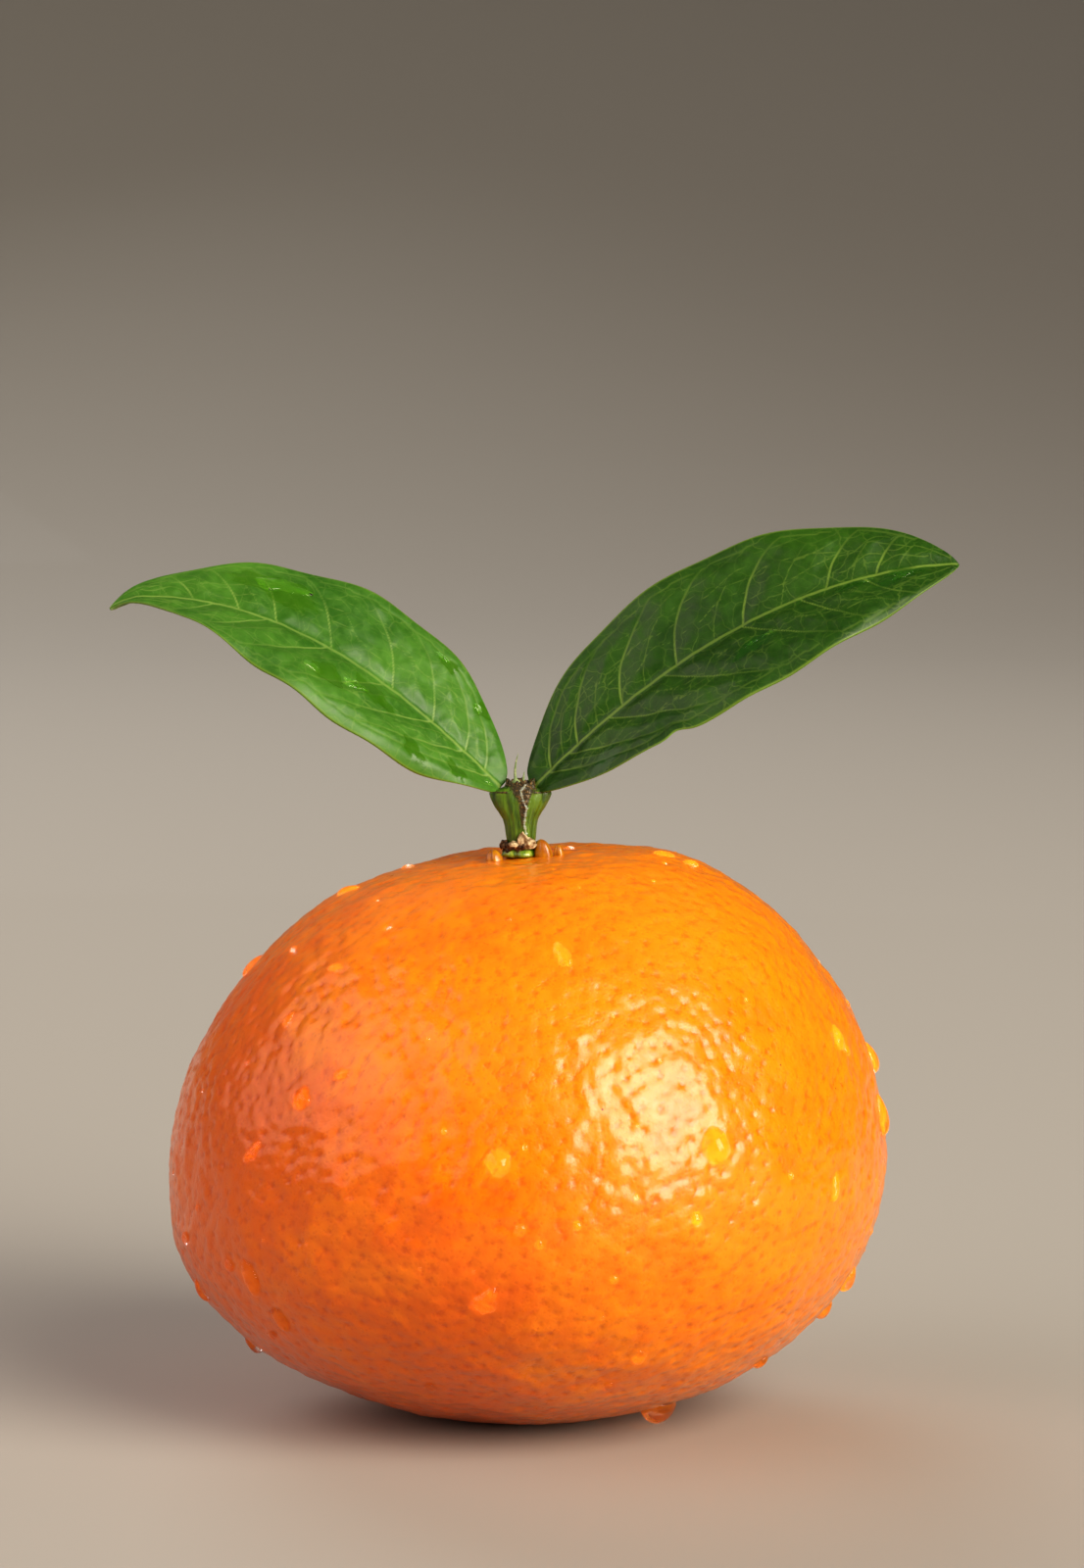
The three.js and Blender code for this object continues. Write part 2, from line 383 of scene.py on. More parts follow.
@dataclass(frozen=True)
class CitrusPeel(Finish):
    """Ripe citrus peel: waxy, grown, pitted by oil glands.

    The wax gives a sharp broken highlight over a softer sheen. Each gland shows as a
    darker, redder dot at the bottom of its pit, and light goes a little way in.
    """

    name: str = "citrus_peel_ripe_waxy"
    slot: str = "peel"
    deep: str = "#E26604"
    # bright is also the tone that the upper right leans to, partly as painted light.
    bright: str = "#FA8E04"
    gland: str = "#BE3C06"
    speck: str = "#2A1206"
    # Painted shade of the furrows round the stem, laid on the peel there in streaks.
    crown_streak_shade: str = "#C2560C"
    # A painted glow of light gathered by the drops, put on the peel under them.
    painted_drop_glow: str = "#FF9E00"
    scar: str = "#7A4A22"
    coat: float = 0.68
    # How far, in millimetres, the yellowing towards the upper right takes: part ripeness, part painted light
    # from the key lamp's side.
    sun_and_key_light_mm: float = 85.0
    blush_mm: float = 24.0
    cloud_mm: float = 3.2
    gland_mm: float = 0.36
    gland_strength: float = 0.36
    fine_gland_strength: float = 0.22
    streak_mm: float = 1.6
    damp_mm: float = 9.0
    satin_mm: float = 1.1
    grain_mm: float = 0.95
    fine_grain_mm: float = 0.3
    fine_gland_spacing_mm: float = 0.62
    speck_spacing_mm: float = 5.5

    def build(self) -> bpy.types.Material:
        """Makes the material.

        Returns:
            The material.
        """
        tree, shader = self.start()
        place = add(tree, Kind.PLACE)
        broad = add(tree, Kind.NOISE, place, per_mm(self.blush_mm), 3.0, 0.4)
        broad = add(tree, Kind.STEP, broad, 0.35, 0.65)
        cloudy = add(tree, Kind.NOISE, place, per_mm(self.cloud_mm), 3.0, 0.3)
        cloudy = add(tree, Kind.STEP, cloudy, 0.3, 0.7)
        tone = add(tree, Kind.MULTIPLY_ADD, cloudy, 0.3, add(tree, Kind.MULTIPLY_ADD, broad, 0.35, -0.325))

        # It grows yellower towards the upper right: partly the ripening of the side that had the sun, partly
        # painted light from the side the key lamp is on.
        split = add(tree, Kind.SPLIT, place).node.outputs
        sun_and_key_light = add(tree, Kind.ADD, split["X"], split["Z"])
        sun_and_key_light = add(tree, Kind.MULTIPLY_ADD, sun_and_key_light, per_mm(self.sun_and_key_light_mm), 0.12)
        ripe = add(tree, Kind.STEP, add(tree, Kind.ADD, tone, sun_and_key_light), 0.0, 1.0)
        colour = add(tree, Kind.BLEND, ripe, linear(self.deep), linear(self.bright))

        # The glands in pits: to_pore is the way to the nearest pit's middle, near_pore
        # its strength, which fades to nothing between pits.
        reach = add(tree, Kind.LENGTH, add(tree, Kind.ATTRIBUTE, out="Vector", attribute_name="to_pore"))
        near = add(tree, Kind.ATTRIBUTE, attribute_name="near_pore")
        dot = add(tree, Kind.STEP, reach, self.gland_mm * 1.5, self.gland_mm * 0.4)
        dot = add(tree, Kind.MULTIPLY, dot, near)
        share = add(tree, Kind.MULTIPLY, dot, self.gland_strength)
        colour = add(tree, Kind.BLEND, share, colour, linear(self.gland))

        # Finer glands between them, which hardly break the surface.
        fine = add(tree, Kind.CELLS, place, per_mm(self.fine_gland_spacing_mm), 0.9)
        fine_dot = add(tree, Kind.STEP, fine, 0.34, 0.08)
        share = add(tree, Kind.MULTIPLY, fine_dot, self.fine_gland_strength)
        colour = add(tree, Kind.BLEND, share, colour, linear(self.gland))

        # Rare specks, a fifth of a millimetre across.
        cells = add(tree, Kind.CELLS, place, per_mm(self.speck_spacing_mm)).node.outputs
        chance = add(tree, "ShaderNodeSeparateColor", cells["Color"])
        rare = add(tree, Kind.GREATER_THAN, chance, 0.45)
        fleck = add(tree, Kind.MULTIPLY, add(tree, Kind.STEP, cells["Distance"], 0.024, 0.013), rare)
        share = add(tree, Kind.MULTIPLY, fleck, 0.85)
        colour = add(tree, Kind.BLEND, share, colour, linear(self.speck))

        # Round the stem the peel has darker, redder streaks, painted shade of the furrows there, and the
        # scar below is brown and dry.
        crown = add(tree, Kind.ATTRIBUTE, attribute_name="crown")
        streaks = add(tree, Kind.NOISE, place, per_mm(self.streak_mm), 4.0, 1.2)
        streaks = add(tree, Kind.MULTIPLY, crown, add(tree, Kind.STEP, streaks, 0.35, 0.75))
        share = add(tree, Kind.MULTIPLY, streaks, 0.6)
        colour = add(tree, Kind.BLEND, share, colour, linear(self.crown_streak_shade))
        scar = add(tree, Kind.ATTRIBUTE, attribute_name="scar")
        share = add(tree, Kind.MULTIPLY, scar, 0.8)
        colour = add(tree, Kind.BLEND, share, colour, linear(self.scar))

        # Under a drop the wax has no gloss of its own, and the peel there is painted a little yellower: a
        # painted glow of the light that the drop gathers.
        flooded = add(tree, Kind.ATTRIBUTE, attribute_name="flooded")
        share = add(tree, Kind.MULTIPLY, flooded, 0.1)
        colour = add(tree, Kind.BLEND, share, colour, linear(self.painted_drop_glow))

        # The wax is satin, smoother where it is damp.
        damp = add(tree, Kind.NOISE, place, per_mm(self.damp_mm), 4.0, 0.8)
        damp = add(tree, Kind.STEP, damp, 0.42, 0.6)
        rough = add(tree, Kind.NOISE, place, per_mm(self.satin_mm), 3.0)
        rough = add(tree, Kind.STEP, rough, 0.3, 0.7, 0.34, 0.44)
        rough = add(tree, Kind.MULTIPLY_ADD, damp, -0.07, rough)
        rough = add(tree, Kind.MULTIPLY_ADD, flooded, 0.6, rough)

        # Relief, in millimetres.
        height = add(tree, Kind.STEP, fine, 0.0, 0.5, -0.02, 0.0)
        fine_grain = add(tree, Kind.NOISE, place, per_mm(self.fine_grain_mm), 2.0)
        fine_grain = add(tree, Kind.MULTIPLY, fine_grain, 0.02)
        grain = add(tree, Kind.NOISE, place, per_mm(self.grain_mm), 2.0)
        grain = add(tree, Kind.MULTIPLY_ADD, grain, 0.09, fine_grain)
        pit = add(tree, Kind.MULTIPLY, dot, -0.035)
        relief = add(tree, Kind.ADD, add(tree, Kind.ADD, height, grain), pit)
        plug(shader, {
            "Base Color": colour,
            "Roughness": rough,
            "Coat Weight": add(tree, Kind.MULTIPLY_ADD, flooded, -self.coat, self.coat),
            "Normal": add(tree, Kind.RELIEF, 0.8, MM, relief),
            "IOR": 1.36,
            "Coat Roughness": 0.15,
            "Coat IOR": 1.42,
            "Subsurface Weight": 0.16,
            "Subsurface Radius": (1.0, 0.32, 0.06),
            "Subsurface Scale": 2.2 * MM,
        })
        return bpy.data.materials[self.name]


@dataclass(frozen=True, kw_only=True)
class CitrusLeaf(Finish):
    """A waxy evergreen leaf: grown, with pale raised veins.

    The upper face has a soft broad gloss, broken by the net of veins and by films of
    water, which make it darker and mirror-smooth. The under face is paler and matt.
    """

    slot: str = "leaf"
    deep: str
    fresh: str
    wet: str
    vein: str
    # rim is the paler margin's colour: partly the blade's own edge, partly a painted highlight of its rolled
    # rim.
    rim: str = "#6E8A30"
    under: str = "#5E7E40"
    under_vein: str = "#B9C98A"
    net_mm: float = 2.3
    net_strength: float

    def build(self) -> bpy.types.Material:
        """Makes the material.

        Returns:
            The material.
        """
        tree, shader = self.start()
        place = add(tree, Kind.PLACE)
        flat = add(tree, Kind.ATTRIBUTE, out="Vector", attribute_name="flat")
        broad = add(tree, Kind.STEP, add(tree, Kind.NOISE, place, per_mm(11), 3.0, 0.5), 0.3, 0.7)
        mottle = add(tree, Kind.STEP, add(tree, Kind.NOISE, place, per_mm(1.3), 4.0, 0.4), 0.3, 0.7)
        tone = add(tree, Kind.MULTIPLY_ADD, mottle, 0.35, add(tree, Kind.MULTIPLY, broad, 0.65))
        colour = add(tree, Kind.BLEND, tone, linear(self.deep), linear(self.fresh))

        # The net of the finest veins, in the leaf's own flat measure.
        swirl = add(tree, Kind.NOISE, flat, 0.55, 2.0, out="Color", noise_dimensions="2D")
        stirred = add(tree, Kind.VECTOR_ADD, flat, add(tree, Kind.SCALE, swirl, 1.3))
        net = []
        for size in (self.net_mm, self.net_mm * 0.42):
            edge = add(tree, Kind.CELLS, stirred, 1 / size, 0.95, voronoi_dimensions="2D",
                       feature="DISTANCE_TO_EDGE")
            net.append(add(tree, Kind.STEP, edge, 0.045, 0.01))
        mesh_lines = add(tree, Kind.MAXIMUM, net[0], add(tree, Kind.MULTIPLY, net[1], 0.45))
        patchy = add(tree, Kind.STEP, add(tree, Kind.NOISE, place, per_mm(6), 2.0), 0.3, 0.62, 0.35, 1.0)
        mesh_lines = add(tree, Kind.MULTIPLY, mesh_lines, patchy)

        # The larger veins by their distances, fainter towards the margin.
        outward = add(tree, Kind.ATTRIBUTE, attribute_name="edge")
        middle, side, thin = (
            add(tree, Kind.STEP, add(tree, Kind.ATTRIBUTE, attribute_name=rank.value), far, near)
            for rank, far, near in zip(Rank, (0.26, 0.19, 0.12), (0.06, 0.05, 0.03))
        )
        side = add(tree, Kind.MULTIPLY, side, add(tree, Kind.STEP, outward, 0.25, 0.85, 0.7, 0.22))
        thin = add(tree, Kind.MULTIPLY, thin, add(tree, Kind.STEP, outward, 0.5, 0.95, 0.34, 0.12))
        lines = add(tree, Kind.MAXIMUM, side, thin)
        lines = add(tree, Kind.MAXIMUM, lines, add(tree, Kind.MULTIPLY, mesh_lines, self.net_strength))
        fading = add(tree, Kind.STEP, add(tree, Kind.NOISE, place, per_mm(2.6), 2.0), 0.25, 0.6, 0.5, 1.0)
        lines = add(tree, Kind.MULTIPLY, lines, fading)
        lines = add(tree, Kind.MAXIMUM, lines, add(tree, Kind.MULTIPLY, middle, 0.75))
        colour = add(tree, Kind.BLEND, lines, colour, linear(self.vein))
        # The very margin is paler: partly the blade's own pale edge, partly a painted highlight of its
        # rolled rim.
        margin = add(tree, Kind.MULTIPLY, add(tree, Kind.STEP, outward, 0.965, 0.992), 0.8)
        colour = add(tree, Kind.BLEND, margin, colour, linear(self.rim))

        below = add(tree, Kind.ATTRIBUTE, attribute_name="below")
        pale = add(tree, Kind.BLEND, lines, linear(self.under), linear(self.under_vein))
        colour = add(tree, Kind.BLEND, below, colour, pale)
        wet = add(tree, Kind.ATTRIBUTE, attribute_name="wet")
        soaked = add(tree, Kind.STEP, wet, 0.35, 0.6)
        colour = add(tree, Kind.BLEND, add(tree, Kind.MULTIPLY, soaked, 0.65), colour, linear(self.wet))

        rough = add(tree, Kind.STEP, mottle, 0.0, 1.0, 0.4, 0.5)
        rough = add(tree, Kind.MULTIPLY_ADD, below, 0.2, rough)
        rough = add(tree, Kind.MULTIPLY_ADD, soaked, -0.28, rough)
        grain = add(tree, Kind.MULTIPLY, add(tree, Kind.NOISE, place, per_mm(0.5), 3.0), 0.012)
        raised = add(tree, Kind.MULTIPLY_ADD, lines, 0.02, grain)
        raised = add(tree, Kind.MULTIPLY, raised, add(tree, Kind.STEP, soaked, 0.0, 1.0, 1.0, 0.2))
        raised = add(tree, Kind.MULTIPLY_ADD, add(tree, Kind.STEP, wet, 0.3, 0.65), 0.06, raised)
        plug(shader, {
            "Base Color": colour,
            "Roughness": rough,
            "Normal": add(tree, Kind.RELIEF, 0.8, MM, raised),
            "IOR": 1.37,
            "Coat Weight": 0.08,
            "Coat Roughness": 0.3,
            "Subsurface Weight": 0.12,
            "Subsurface Radius": (0.5, 1.0, 0.2),
            "Subsurface Scale": 0.6 * MM,
        })
        return bpy.data.materials[self.name]


@dataclass(frozen=True)
class GreenBark(Finish):
    """Bark of a young green twig: satin, ribbed, with a dry brown corky stripe and a wet rivulet painted
    pale as a glint.
    """

    name: str = "green_twig_bark"
    slot: str = "green_bark"
    green: str = "#5C7E14"
    dark: str = "#2F5208"
    cork: str = "#2E1A08"
    pale_cork: str = "#7A5A2A"
    painted_rivulet_glint: str = "#A9B4A6"

    def build(self) -> bpy.types.Material:
        """Makes the material.

        Returns:
            The material.
        """
        tree, shader = self.start()
        place = add(tree, Kind.PLACE)
        drawn_out = add(tree, "ShaderNodeMapping", {"Vector": place, "Scale": (1.0, 1.0, 0.22)})
        streak = add(tree, Kind.STEP, add(tree, Kind.NOISE, drawn_out, per_mm(0.55), 4.0, 0.6), 0.3, 0.7)
        colour = add(tree, Kind.BLEND, streak, linear(self.dark), linear(self.green))
        cork = add(tree, Kind.ATTRIBUTE, attribute_name="cork")
        ragged = add(tree, Kind.NOISE, drawn_out, per_mm(0.3), 5.0, 0.8)
        ragged = add(tree, Kind.ADD, cork, add(tree, Kind.MULTIPLY_ADD, ragged, 0.9, -0.45))
        brown = add(tree, Kind.STEP, ragged, 0.38, 0.62)
        speckle = add(tree, Kind.STEP, add(tree, Kind.NOISE, place, per_mm(0.22), 3.0), 0.5, 0.68)
        bark = add(tree, Kind.BLEND, speckle, linear(self.cork), linear(self.pale_cork))
        colour = add(tree, Kind.BLEND, add(tree, Kind.MULTIPLY, brown, 0.92), colour, bark)
        # The rivulet is painted pale, a painted glint of light on wet bark, and it is smoother.
        wet = add(tree, Kind.ATTRIBUTE, attribute_name="streak")
        wet = add(tree, Kind.ADD, wet, add(tree, Kind.STEP, speckle, 0.0, 1.0, 0.0, -0.5))
        wet = add(tree, Kind.STEP, wet, 0.25, 0.8)
        colour = add(tree, Kind.BLEND, add(tree, Kind.MULTIPLY, wet, 0.75), colour, linear(self.painted_rivulet_glint))
        rough = add(tree, Kind.STEP, brown, 0.0, 1.0, 0.42, 0.72)
        lumps = add(tree, Kind.MULTIPLY, add(tree, Kind.NOISE, drawn_out, per_mm(0.4), 4.0, 0.5), 0.06)
        crust = add(tree, Kind.MULTIPLY, add(tree, Kind.NOISE, place, per_mm(0.2), 4.0), brown)
        relief = add(tree, Kind.ADD, lumps, add(tree, Kind.MULTIPLY, crust, 0.12))
        plug(shader, {
            "Base Color": colour,
            "Roughness": add(tree, Kind.MULTIPLY_ADD, wet, -0.3, rough),
            "Normal": add(tree, Kind.RELIEF, 0.9, MM, relief),
            "Coat Weight": 0.25,
            "Coat Roughness": 0.2,
            "Subsurface Weight": 0.1,
            "Subsurface Radius": (0.5, 1.0, 0.2),
            "Subsurface Scale": 0.5 * MM,
        })
        return bpy.data.materials[self.name]


@dataclass(frozen=True)
class Plain(Finish):
    """A finish of two tones and a grain, for the twig's small pieces."""

    dark: str = "#5A3A18"
    light: str = "#C8AE7C"
    tone_mm: float = 0.5
    grain_mm: float = 0.18
    grain_depth_mm: float = 0.05
    roughness: float = 0.8
    coat: float = 0.0

    def build(self) -> bpy.types.Material:
        """Makes the material.

        Returns:
            The material.
        """
        tree, shader = self.start()
        place = add(tree, Kind.PLACE)
        tone = add(tree, Kind.NOISE, place, per_mm(self.tone_mm), 4.0, 0.5)
        tone = add(tree, Kind.STEP, tone, 0.36, 0.64)
        grain = add(tree, Kind.NOISE, place, per_mm(self.grain_mm), 4.0)
        shade = add(tree, Kind.MULTIPLY, add(tree, Kind.STEP, grain, 0.3, 0.6, 0.55, 1.0), tone)
        height = add(tree, Kind.MULTIPLY, grain, self.grain_depth_mm)
        plug(shader, {
            "Base Color": add(tree, Kind.BLEND, shade, linear(self.dark), linear(self.light)),
            "Roughness": add(
                tree, Kind.STEP, grain, 0.3, 0.7, self.roughness + 0.06, self.roughness - 0.06
            ),
            "Normal": add(tree, Kind.RELIEF, 0.9, MM, height),
            "Coat Weight": self.coat,
            "Coat Roughness": 0.12,
        })
        return bpy.data.materials[self.name]


@dataclass(frozen=True)
class Water(Finish):
    """Clean water in drops: its surface tension makes it smooth as glass.

    Lamp light passes nearly straight through to what is below, as it does in a thin drop.
    """

    name: str = "water_drops_clear"
    slot: str = "peel"
    tint: str = "#FFFFFF"
    lamp_tint: str = "#F6F2EE"

    def build(self) -> bpy.types.Material:
        """Makes the material.

        Returns:
            The material.
        """
        tree, shader = self.start()
        lamp_ray = add(tree, "ShaderNodeLightPath", out="Is Shadow Ray")
        clear = add(tree, "ShaderNodeBsdfTransparent", linear(self.lamp_tint))
        both = add(tree, "ShaderNodeMixShader", lamp_ray, shader.outputs[0], clear)
        output = next(n for n in tree.nodes if n.bl_idname == "ShaderNodeOutputMaterial")
        plug(output, {"Surface": both})
        plug(shader, {
            "Base Color": linear(self.tint),
            "Roughness": 0.0,
            "IOR": 1.333,
            "Transmission Weight": 1.0,
        })
        return bpy.data.materials[self.name]


PEEL = CitrusPeel()
# The two leaves get copies of one finish, the left one paler and the right one darker. Part of that is their
# own tone, part is painted light and shade: the left leaf faces the key lamp and the right turns from it.
LEFT_BLADE = CitrusLeaf(name="citrus_leaf_waxy_light", deep="#2E5E12", fresh="#508228", wet="#386606",
                        vein="#7F9C4C", net_strength=0.24)
RIGHT_BLADE = CitrusLeaf(name="citrus_leaf_waxy_dark", deep="#183C04", fresh="#305A0A", wet="#204C10",
                         vein="#76923C", net_strength=0.26)
TWIG = GreenBark()

# Living green tissue, grown smooth: a wet gloss over mottled yellow-green.
BUTTON = Plain("green_calyx_button", "green_button", dark="#4F7414", light="#A9BE4C", tone_mm=0.9,
               grain_depth_mm=0.02, roughness=0.32, coat=0.6)

# Dried sepals: matt and crumbly. The knobs that stand up are pale; the ring of crumbs in between is dark,
# partly its own brown and partly painted shade.
DRY = Plain("dry_sepal_bark_pale", "dry_bark", dark="#6A4A26", light="#DCCBA2", tone_mm=0.6)
DARK_AND_SHADED_DRY = Plain("dry_sepal_bark_dark", "dry_bark", dark="#241206", light="#6E4A26", tone_mm=0.5)

# Plant fibre: a dull pale green.
HAIR = Plain("pale_green_hair", "hair", dark="#6E8650", light="#AAB684", tone_mm=0.6,
             grain_depth_mm=0.01, roughness=0.55)
WATER = Water()

# Drops by the stem: glossy and hardly clear, their amber painted in place of the peel and stem that clear
# water would show through.
AMBER_PAINTED_WATER = Plain("water_drops_oil_tinted", "peel", dark="#A05C08", light="#C4860F", tone_mm=1.2,
              grain_depth_mm=0.0, roughness=0.3, coat=0.45)


# ------------------------------------------------------------------------- fruit


@dataclass
class Fruit:
    """The orange: two half ellipsoids with a sunken top, leaning, pitted all over."""

    radius: float = 38.5
    crown_height: float = 36.9
    base_height: float = 26.4
    dimple_depth: float = 3.0
    dimple_radius: float = 14.0
    lean: float = math.radians(5.4)
    fullness: float = 0.064
    depth_ratio: float = 0.99
    furrow_depth: float = 0.22
    furrow_reach: float = 9.0
    scar_radius: float = 1.7
    facets: int = 128
    pore_spacing: float = 1.4
    pore_depth: float = 0.15
    pore_radius: float = 0.6
    seed: int = 7
    middle: np.ndarray = field(init=False)

    def __post_init__(self) -> None:
        """Finds where the fruit's middle lies, from the box of its node."""
        self.middle = np.zeros(3)
        low, high = (np.array(corner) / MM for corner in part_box("fruit"))
        points = self.surface(self.sphere(24)[0])
        self.middle = (low + high) / 2 - (points.min(0) + points.max(0)) / 2
        self.middle[2] = high[2] - points[:, 2].max()

    @staticmethod
    def sphere(facets: int) -> tuple[np.ndarray, np.ndarray]:
        """An even net of directions, from the six sides of a cube.

        Args:
            facets: faces along each edge of the cube.

        Returns:
            Unit directions, and four corners for each face.
        """
        step = np.tan(np.linspace(-math.pi / 4, math.pi / 4, facets + 1))
        v, u = (a.ravel() for a in np.meshgrid(step, step, indexing="ij"))
        one = np.ones_like(u)
        sides = [(one, u, v), (-one, -u, v), (-u, one, v), (u, -one, v), (u, v, one), (u, -v, -one)]
        corners = unit(np.concatenate([np.stack(s, -1) for s in sides]))
        block = grid_faces(facets + 1, facets + 1)
        faces = np.concatenate([block + i * u.size for i in range(6)])
        _, first, back = np.unique(np.round(corners, 7), axis=0, return_index=True, return_inverse=True)
        return corners[first], back.reshape(-1)[faces]

    def surface(self, direction: np.ndarray) -> np.ndarray:
        """The smooth peel's points, in millimetres.

        Args:
            direction: unit directions in the fruit's own axes, crown up.

        Returns:
            Points in the frame.
        """
        x, y, z = direction[..., 0], direction[..., 1], direction[..., 2]
        reach = self.radius * np.hypot(x, y)
        around = np.arctan2(y, x)
        dimple = self.dimple_depth * np.exp(-((reach / self.dimple_radius) ** 2))
        furrow = self.furrow_depth * np.exp(-((reach / self.furrow_reach) ** 2)) * smooth(1.5, 5.0, reach)
        furrow = furrow * (0.5 + 0.5 * np.cos(9 * around + 0.7 * np.sin(3 * around)))
        height = np.where(z > 0, self.crown_height * z - dimple - furrow, self.base_height * z)
        spread = self.radius * (1 - self.fullness * x)
        own = np.stack([spread * x, spread * y * self.depth_ratio, height], -1)
        cos, sin = math.cos(self.lean), math.sin(self.lean)
        leaning = np.stack(
            [own[..., 0] * cos - own[..., 2] * sin, own[..., 1], own[..., 0] * sin + own[..., 2] * cos], -1
        )
        return leaning + self.middle

    def direction_of(self, point: np.ndarray) -> np.ndarray:
        """The direction, in the fruit's own axes, of a point near the peel.

        Args:
            point: points in the frame, in millimetres.

        Returns:
            Unit directions for the surface method.
        """
        away = point - self.middle
        cos, sin = math.cos(self.lean), math.sin(self.lean)
        x = away[..., 0] * cos + away[..., 2] * sin
        z = -away[..., 0] * sin + away[..., 2] * cos
        height = np.where(z > 0, self.crown_height, self.base_height)
        return unit(
            np.stack([x / self.radius, away[..., 1] / (self.radius * self.depth_ratio), z / height], -1)
        )

    def normal(self, direction: np.ndarray) -> np.ndarray:
        """The peel's outward normals.

        Args:
            direction: unit directions in the fruit's own axes.

        Returns:
            One unit normal for each.
        """
        helper = np.where(np.abs(direction[..., 2:]) > 0.9, [[1.0, 0, 0]], [[0, 0, 1.0]])
        first = unit(np.cross(helper, direction))
        second = np.cross(direction, first)
        step = 0.01
        at = self.surface(direction)
        one = self.surface(unit(direction + step * first)) - at
        two = self.surface(unit(direction + step * second)) - at
        return unit(np.cross(one, two))

    @property
    def crown(self) -> np.ndarray:
        """The point where the twig stands, in millimetres."""
        return self.surface(np.array([0.0, 0.0, 1.0]))

    def station(self, place: tuple[float, float]) -> tuple[np.ndarray, np.ndarray]:
        """A place on the smooth peel.

        Args:
            place: its longitude and latitude, in degrees.

        Returns:
            The point, in millimetres, and the outward normal there.
        """
        lon, lat = (math.radians(v) for v in place)
        way = np.array([math.cos(lat) * math.cos(lon), math.cos(lat) * math.sin(lon), math.sin(lat)])
        return self.surface(way), self.normal(way[None])[0]

    def flooded(self, points: np.ndarray, drops: Sequence["Drop"]) -> np.ndarray:
        """How far the peel is under water, from 0 to 1.

        Args:
            points: points of the peel, in millimetres.
            drops: the drops that lie on it.

        Returns:
            One share for each point.
        """
        share = np.zeros(len(points))
        for drop in drops:
            middle, normal = self.station(drop.place)
            first, second = drop.axes(normal, np.array([0.0, 0.0, 1.0]))
            away = points - middle
            reach = np.hypot(away @ first / drop.wide, away @ second / drop.tall)
            share = np.maximum(share, (1 - smooth(0.82, 1.04, reach)) * (np.abs(away @ normal) < 3))
        return share

    def build(self, drops: Sequence["Drop"]) -> bpy.types.Object:
        """Makes the peel, with its pits, and dresses it.

        Args:
            drops: the drops that will lie on it.

        Returns:
            The piece that stands for the fruit.
        """
        direction, faces = self.sphere(self.facets)
        points = self.surface(direction)
        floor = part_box("fruit")[0].z / MM
        crown = np.linalg.norm(points - self.crown, axis=1)
        scar = np.linalg.norm(points - self.surface(np.array([0.0, 0.0, -1.0])), axis=1)
        points[:, 2] = np.maximum(points[:, 2], floor)
        piece = make_object("orange_peel", points, faces)
        set_attribute(piece, "crown", 1 - smooth(2.5, 11, crown))
        set_attribute(piece, "scar", 1 - smooth(self.scar_radius * 0.8, self.scar_radius, scar))
        set_attribute(piece, "flooded", self.flooded(points, drops))
        self.pit(piece)
        return finish_piece(piece, ["fruit"])

    def pit(self, piece: bpy.types.Object) -> None:
        """Sinks the oil glands' pits in the peel and makes it gently uneven.

        Each corner near a pit is drawn towards its middle, so that the pit is crisp.

        Args:
            piece: the smooth peel.
        """
        made = GeometryTree("peel_pits", [
            TreeInput("Pore Spacing", "NodeSocketFloat", self.pore_spacing * MM),
            TreeInput("Pore Depth", "NodeSocketFloat", self.pore_depth * MM),
            TreeInput("Pore Radius", "NodeSocketFloat", self.pore_radius * MM),
            TreeInput("Seed", "NodeSocketInt", self.seed),
        ])
        tree, entry = made.tree, made.entry
        place = add(tree, Kind.POSITION)
        normal = add(tree, Kind.NORMAL)

        # Three pores to each square millimetre are tried, and the spacing thins them.
        pores = add(tree, Kind.SCATTER, {
            "Mesh": entry["Geometry"],
            "Distance Min": entry["Pore Spacing"],
            "Density Max": 3.0 / MM**2,
            "Seed": entry["Seed"],
        })
        nearest = add(tree, "GeometryNodeSampleNearest", pores, domain="POINT")
        sampled = add(tree, "GeometryNodeSampleIndex", {"Geometry": pores, "Value": place, "Index": nearest},
                      out="Value", data_type="FLOAT_VECTOR", domain="POINT")
        strength = add(tree, Kind.RANDOM, {2: 0.3, 3: 1.0, "ID": nearest, "Seed": entry["Seed"]}, out=1,
                       data_type="FLOAT")
        gap = add(tree, Kind.VECTOR_SUBTRACT, sampled, place)
        reach = add(tree, Kind.LENGTH, gap)
        share = add(tree, Kind.DIVIDE, reach, entry["Pore Radius"])
        pull = add(tree, Kind.STEP, share, 0.1, 1.35, 0.62, 0.0)
        drawn = add(tree, Kind.SCALE, gap, pull)

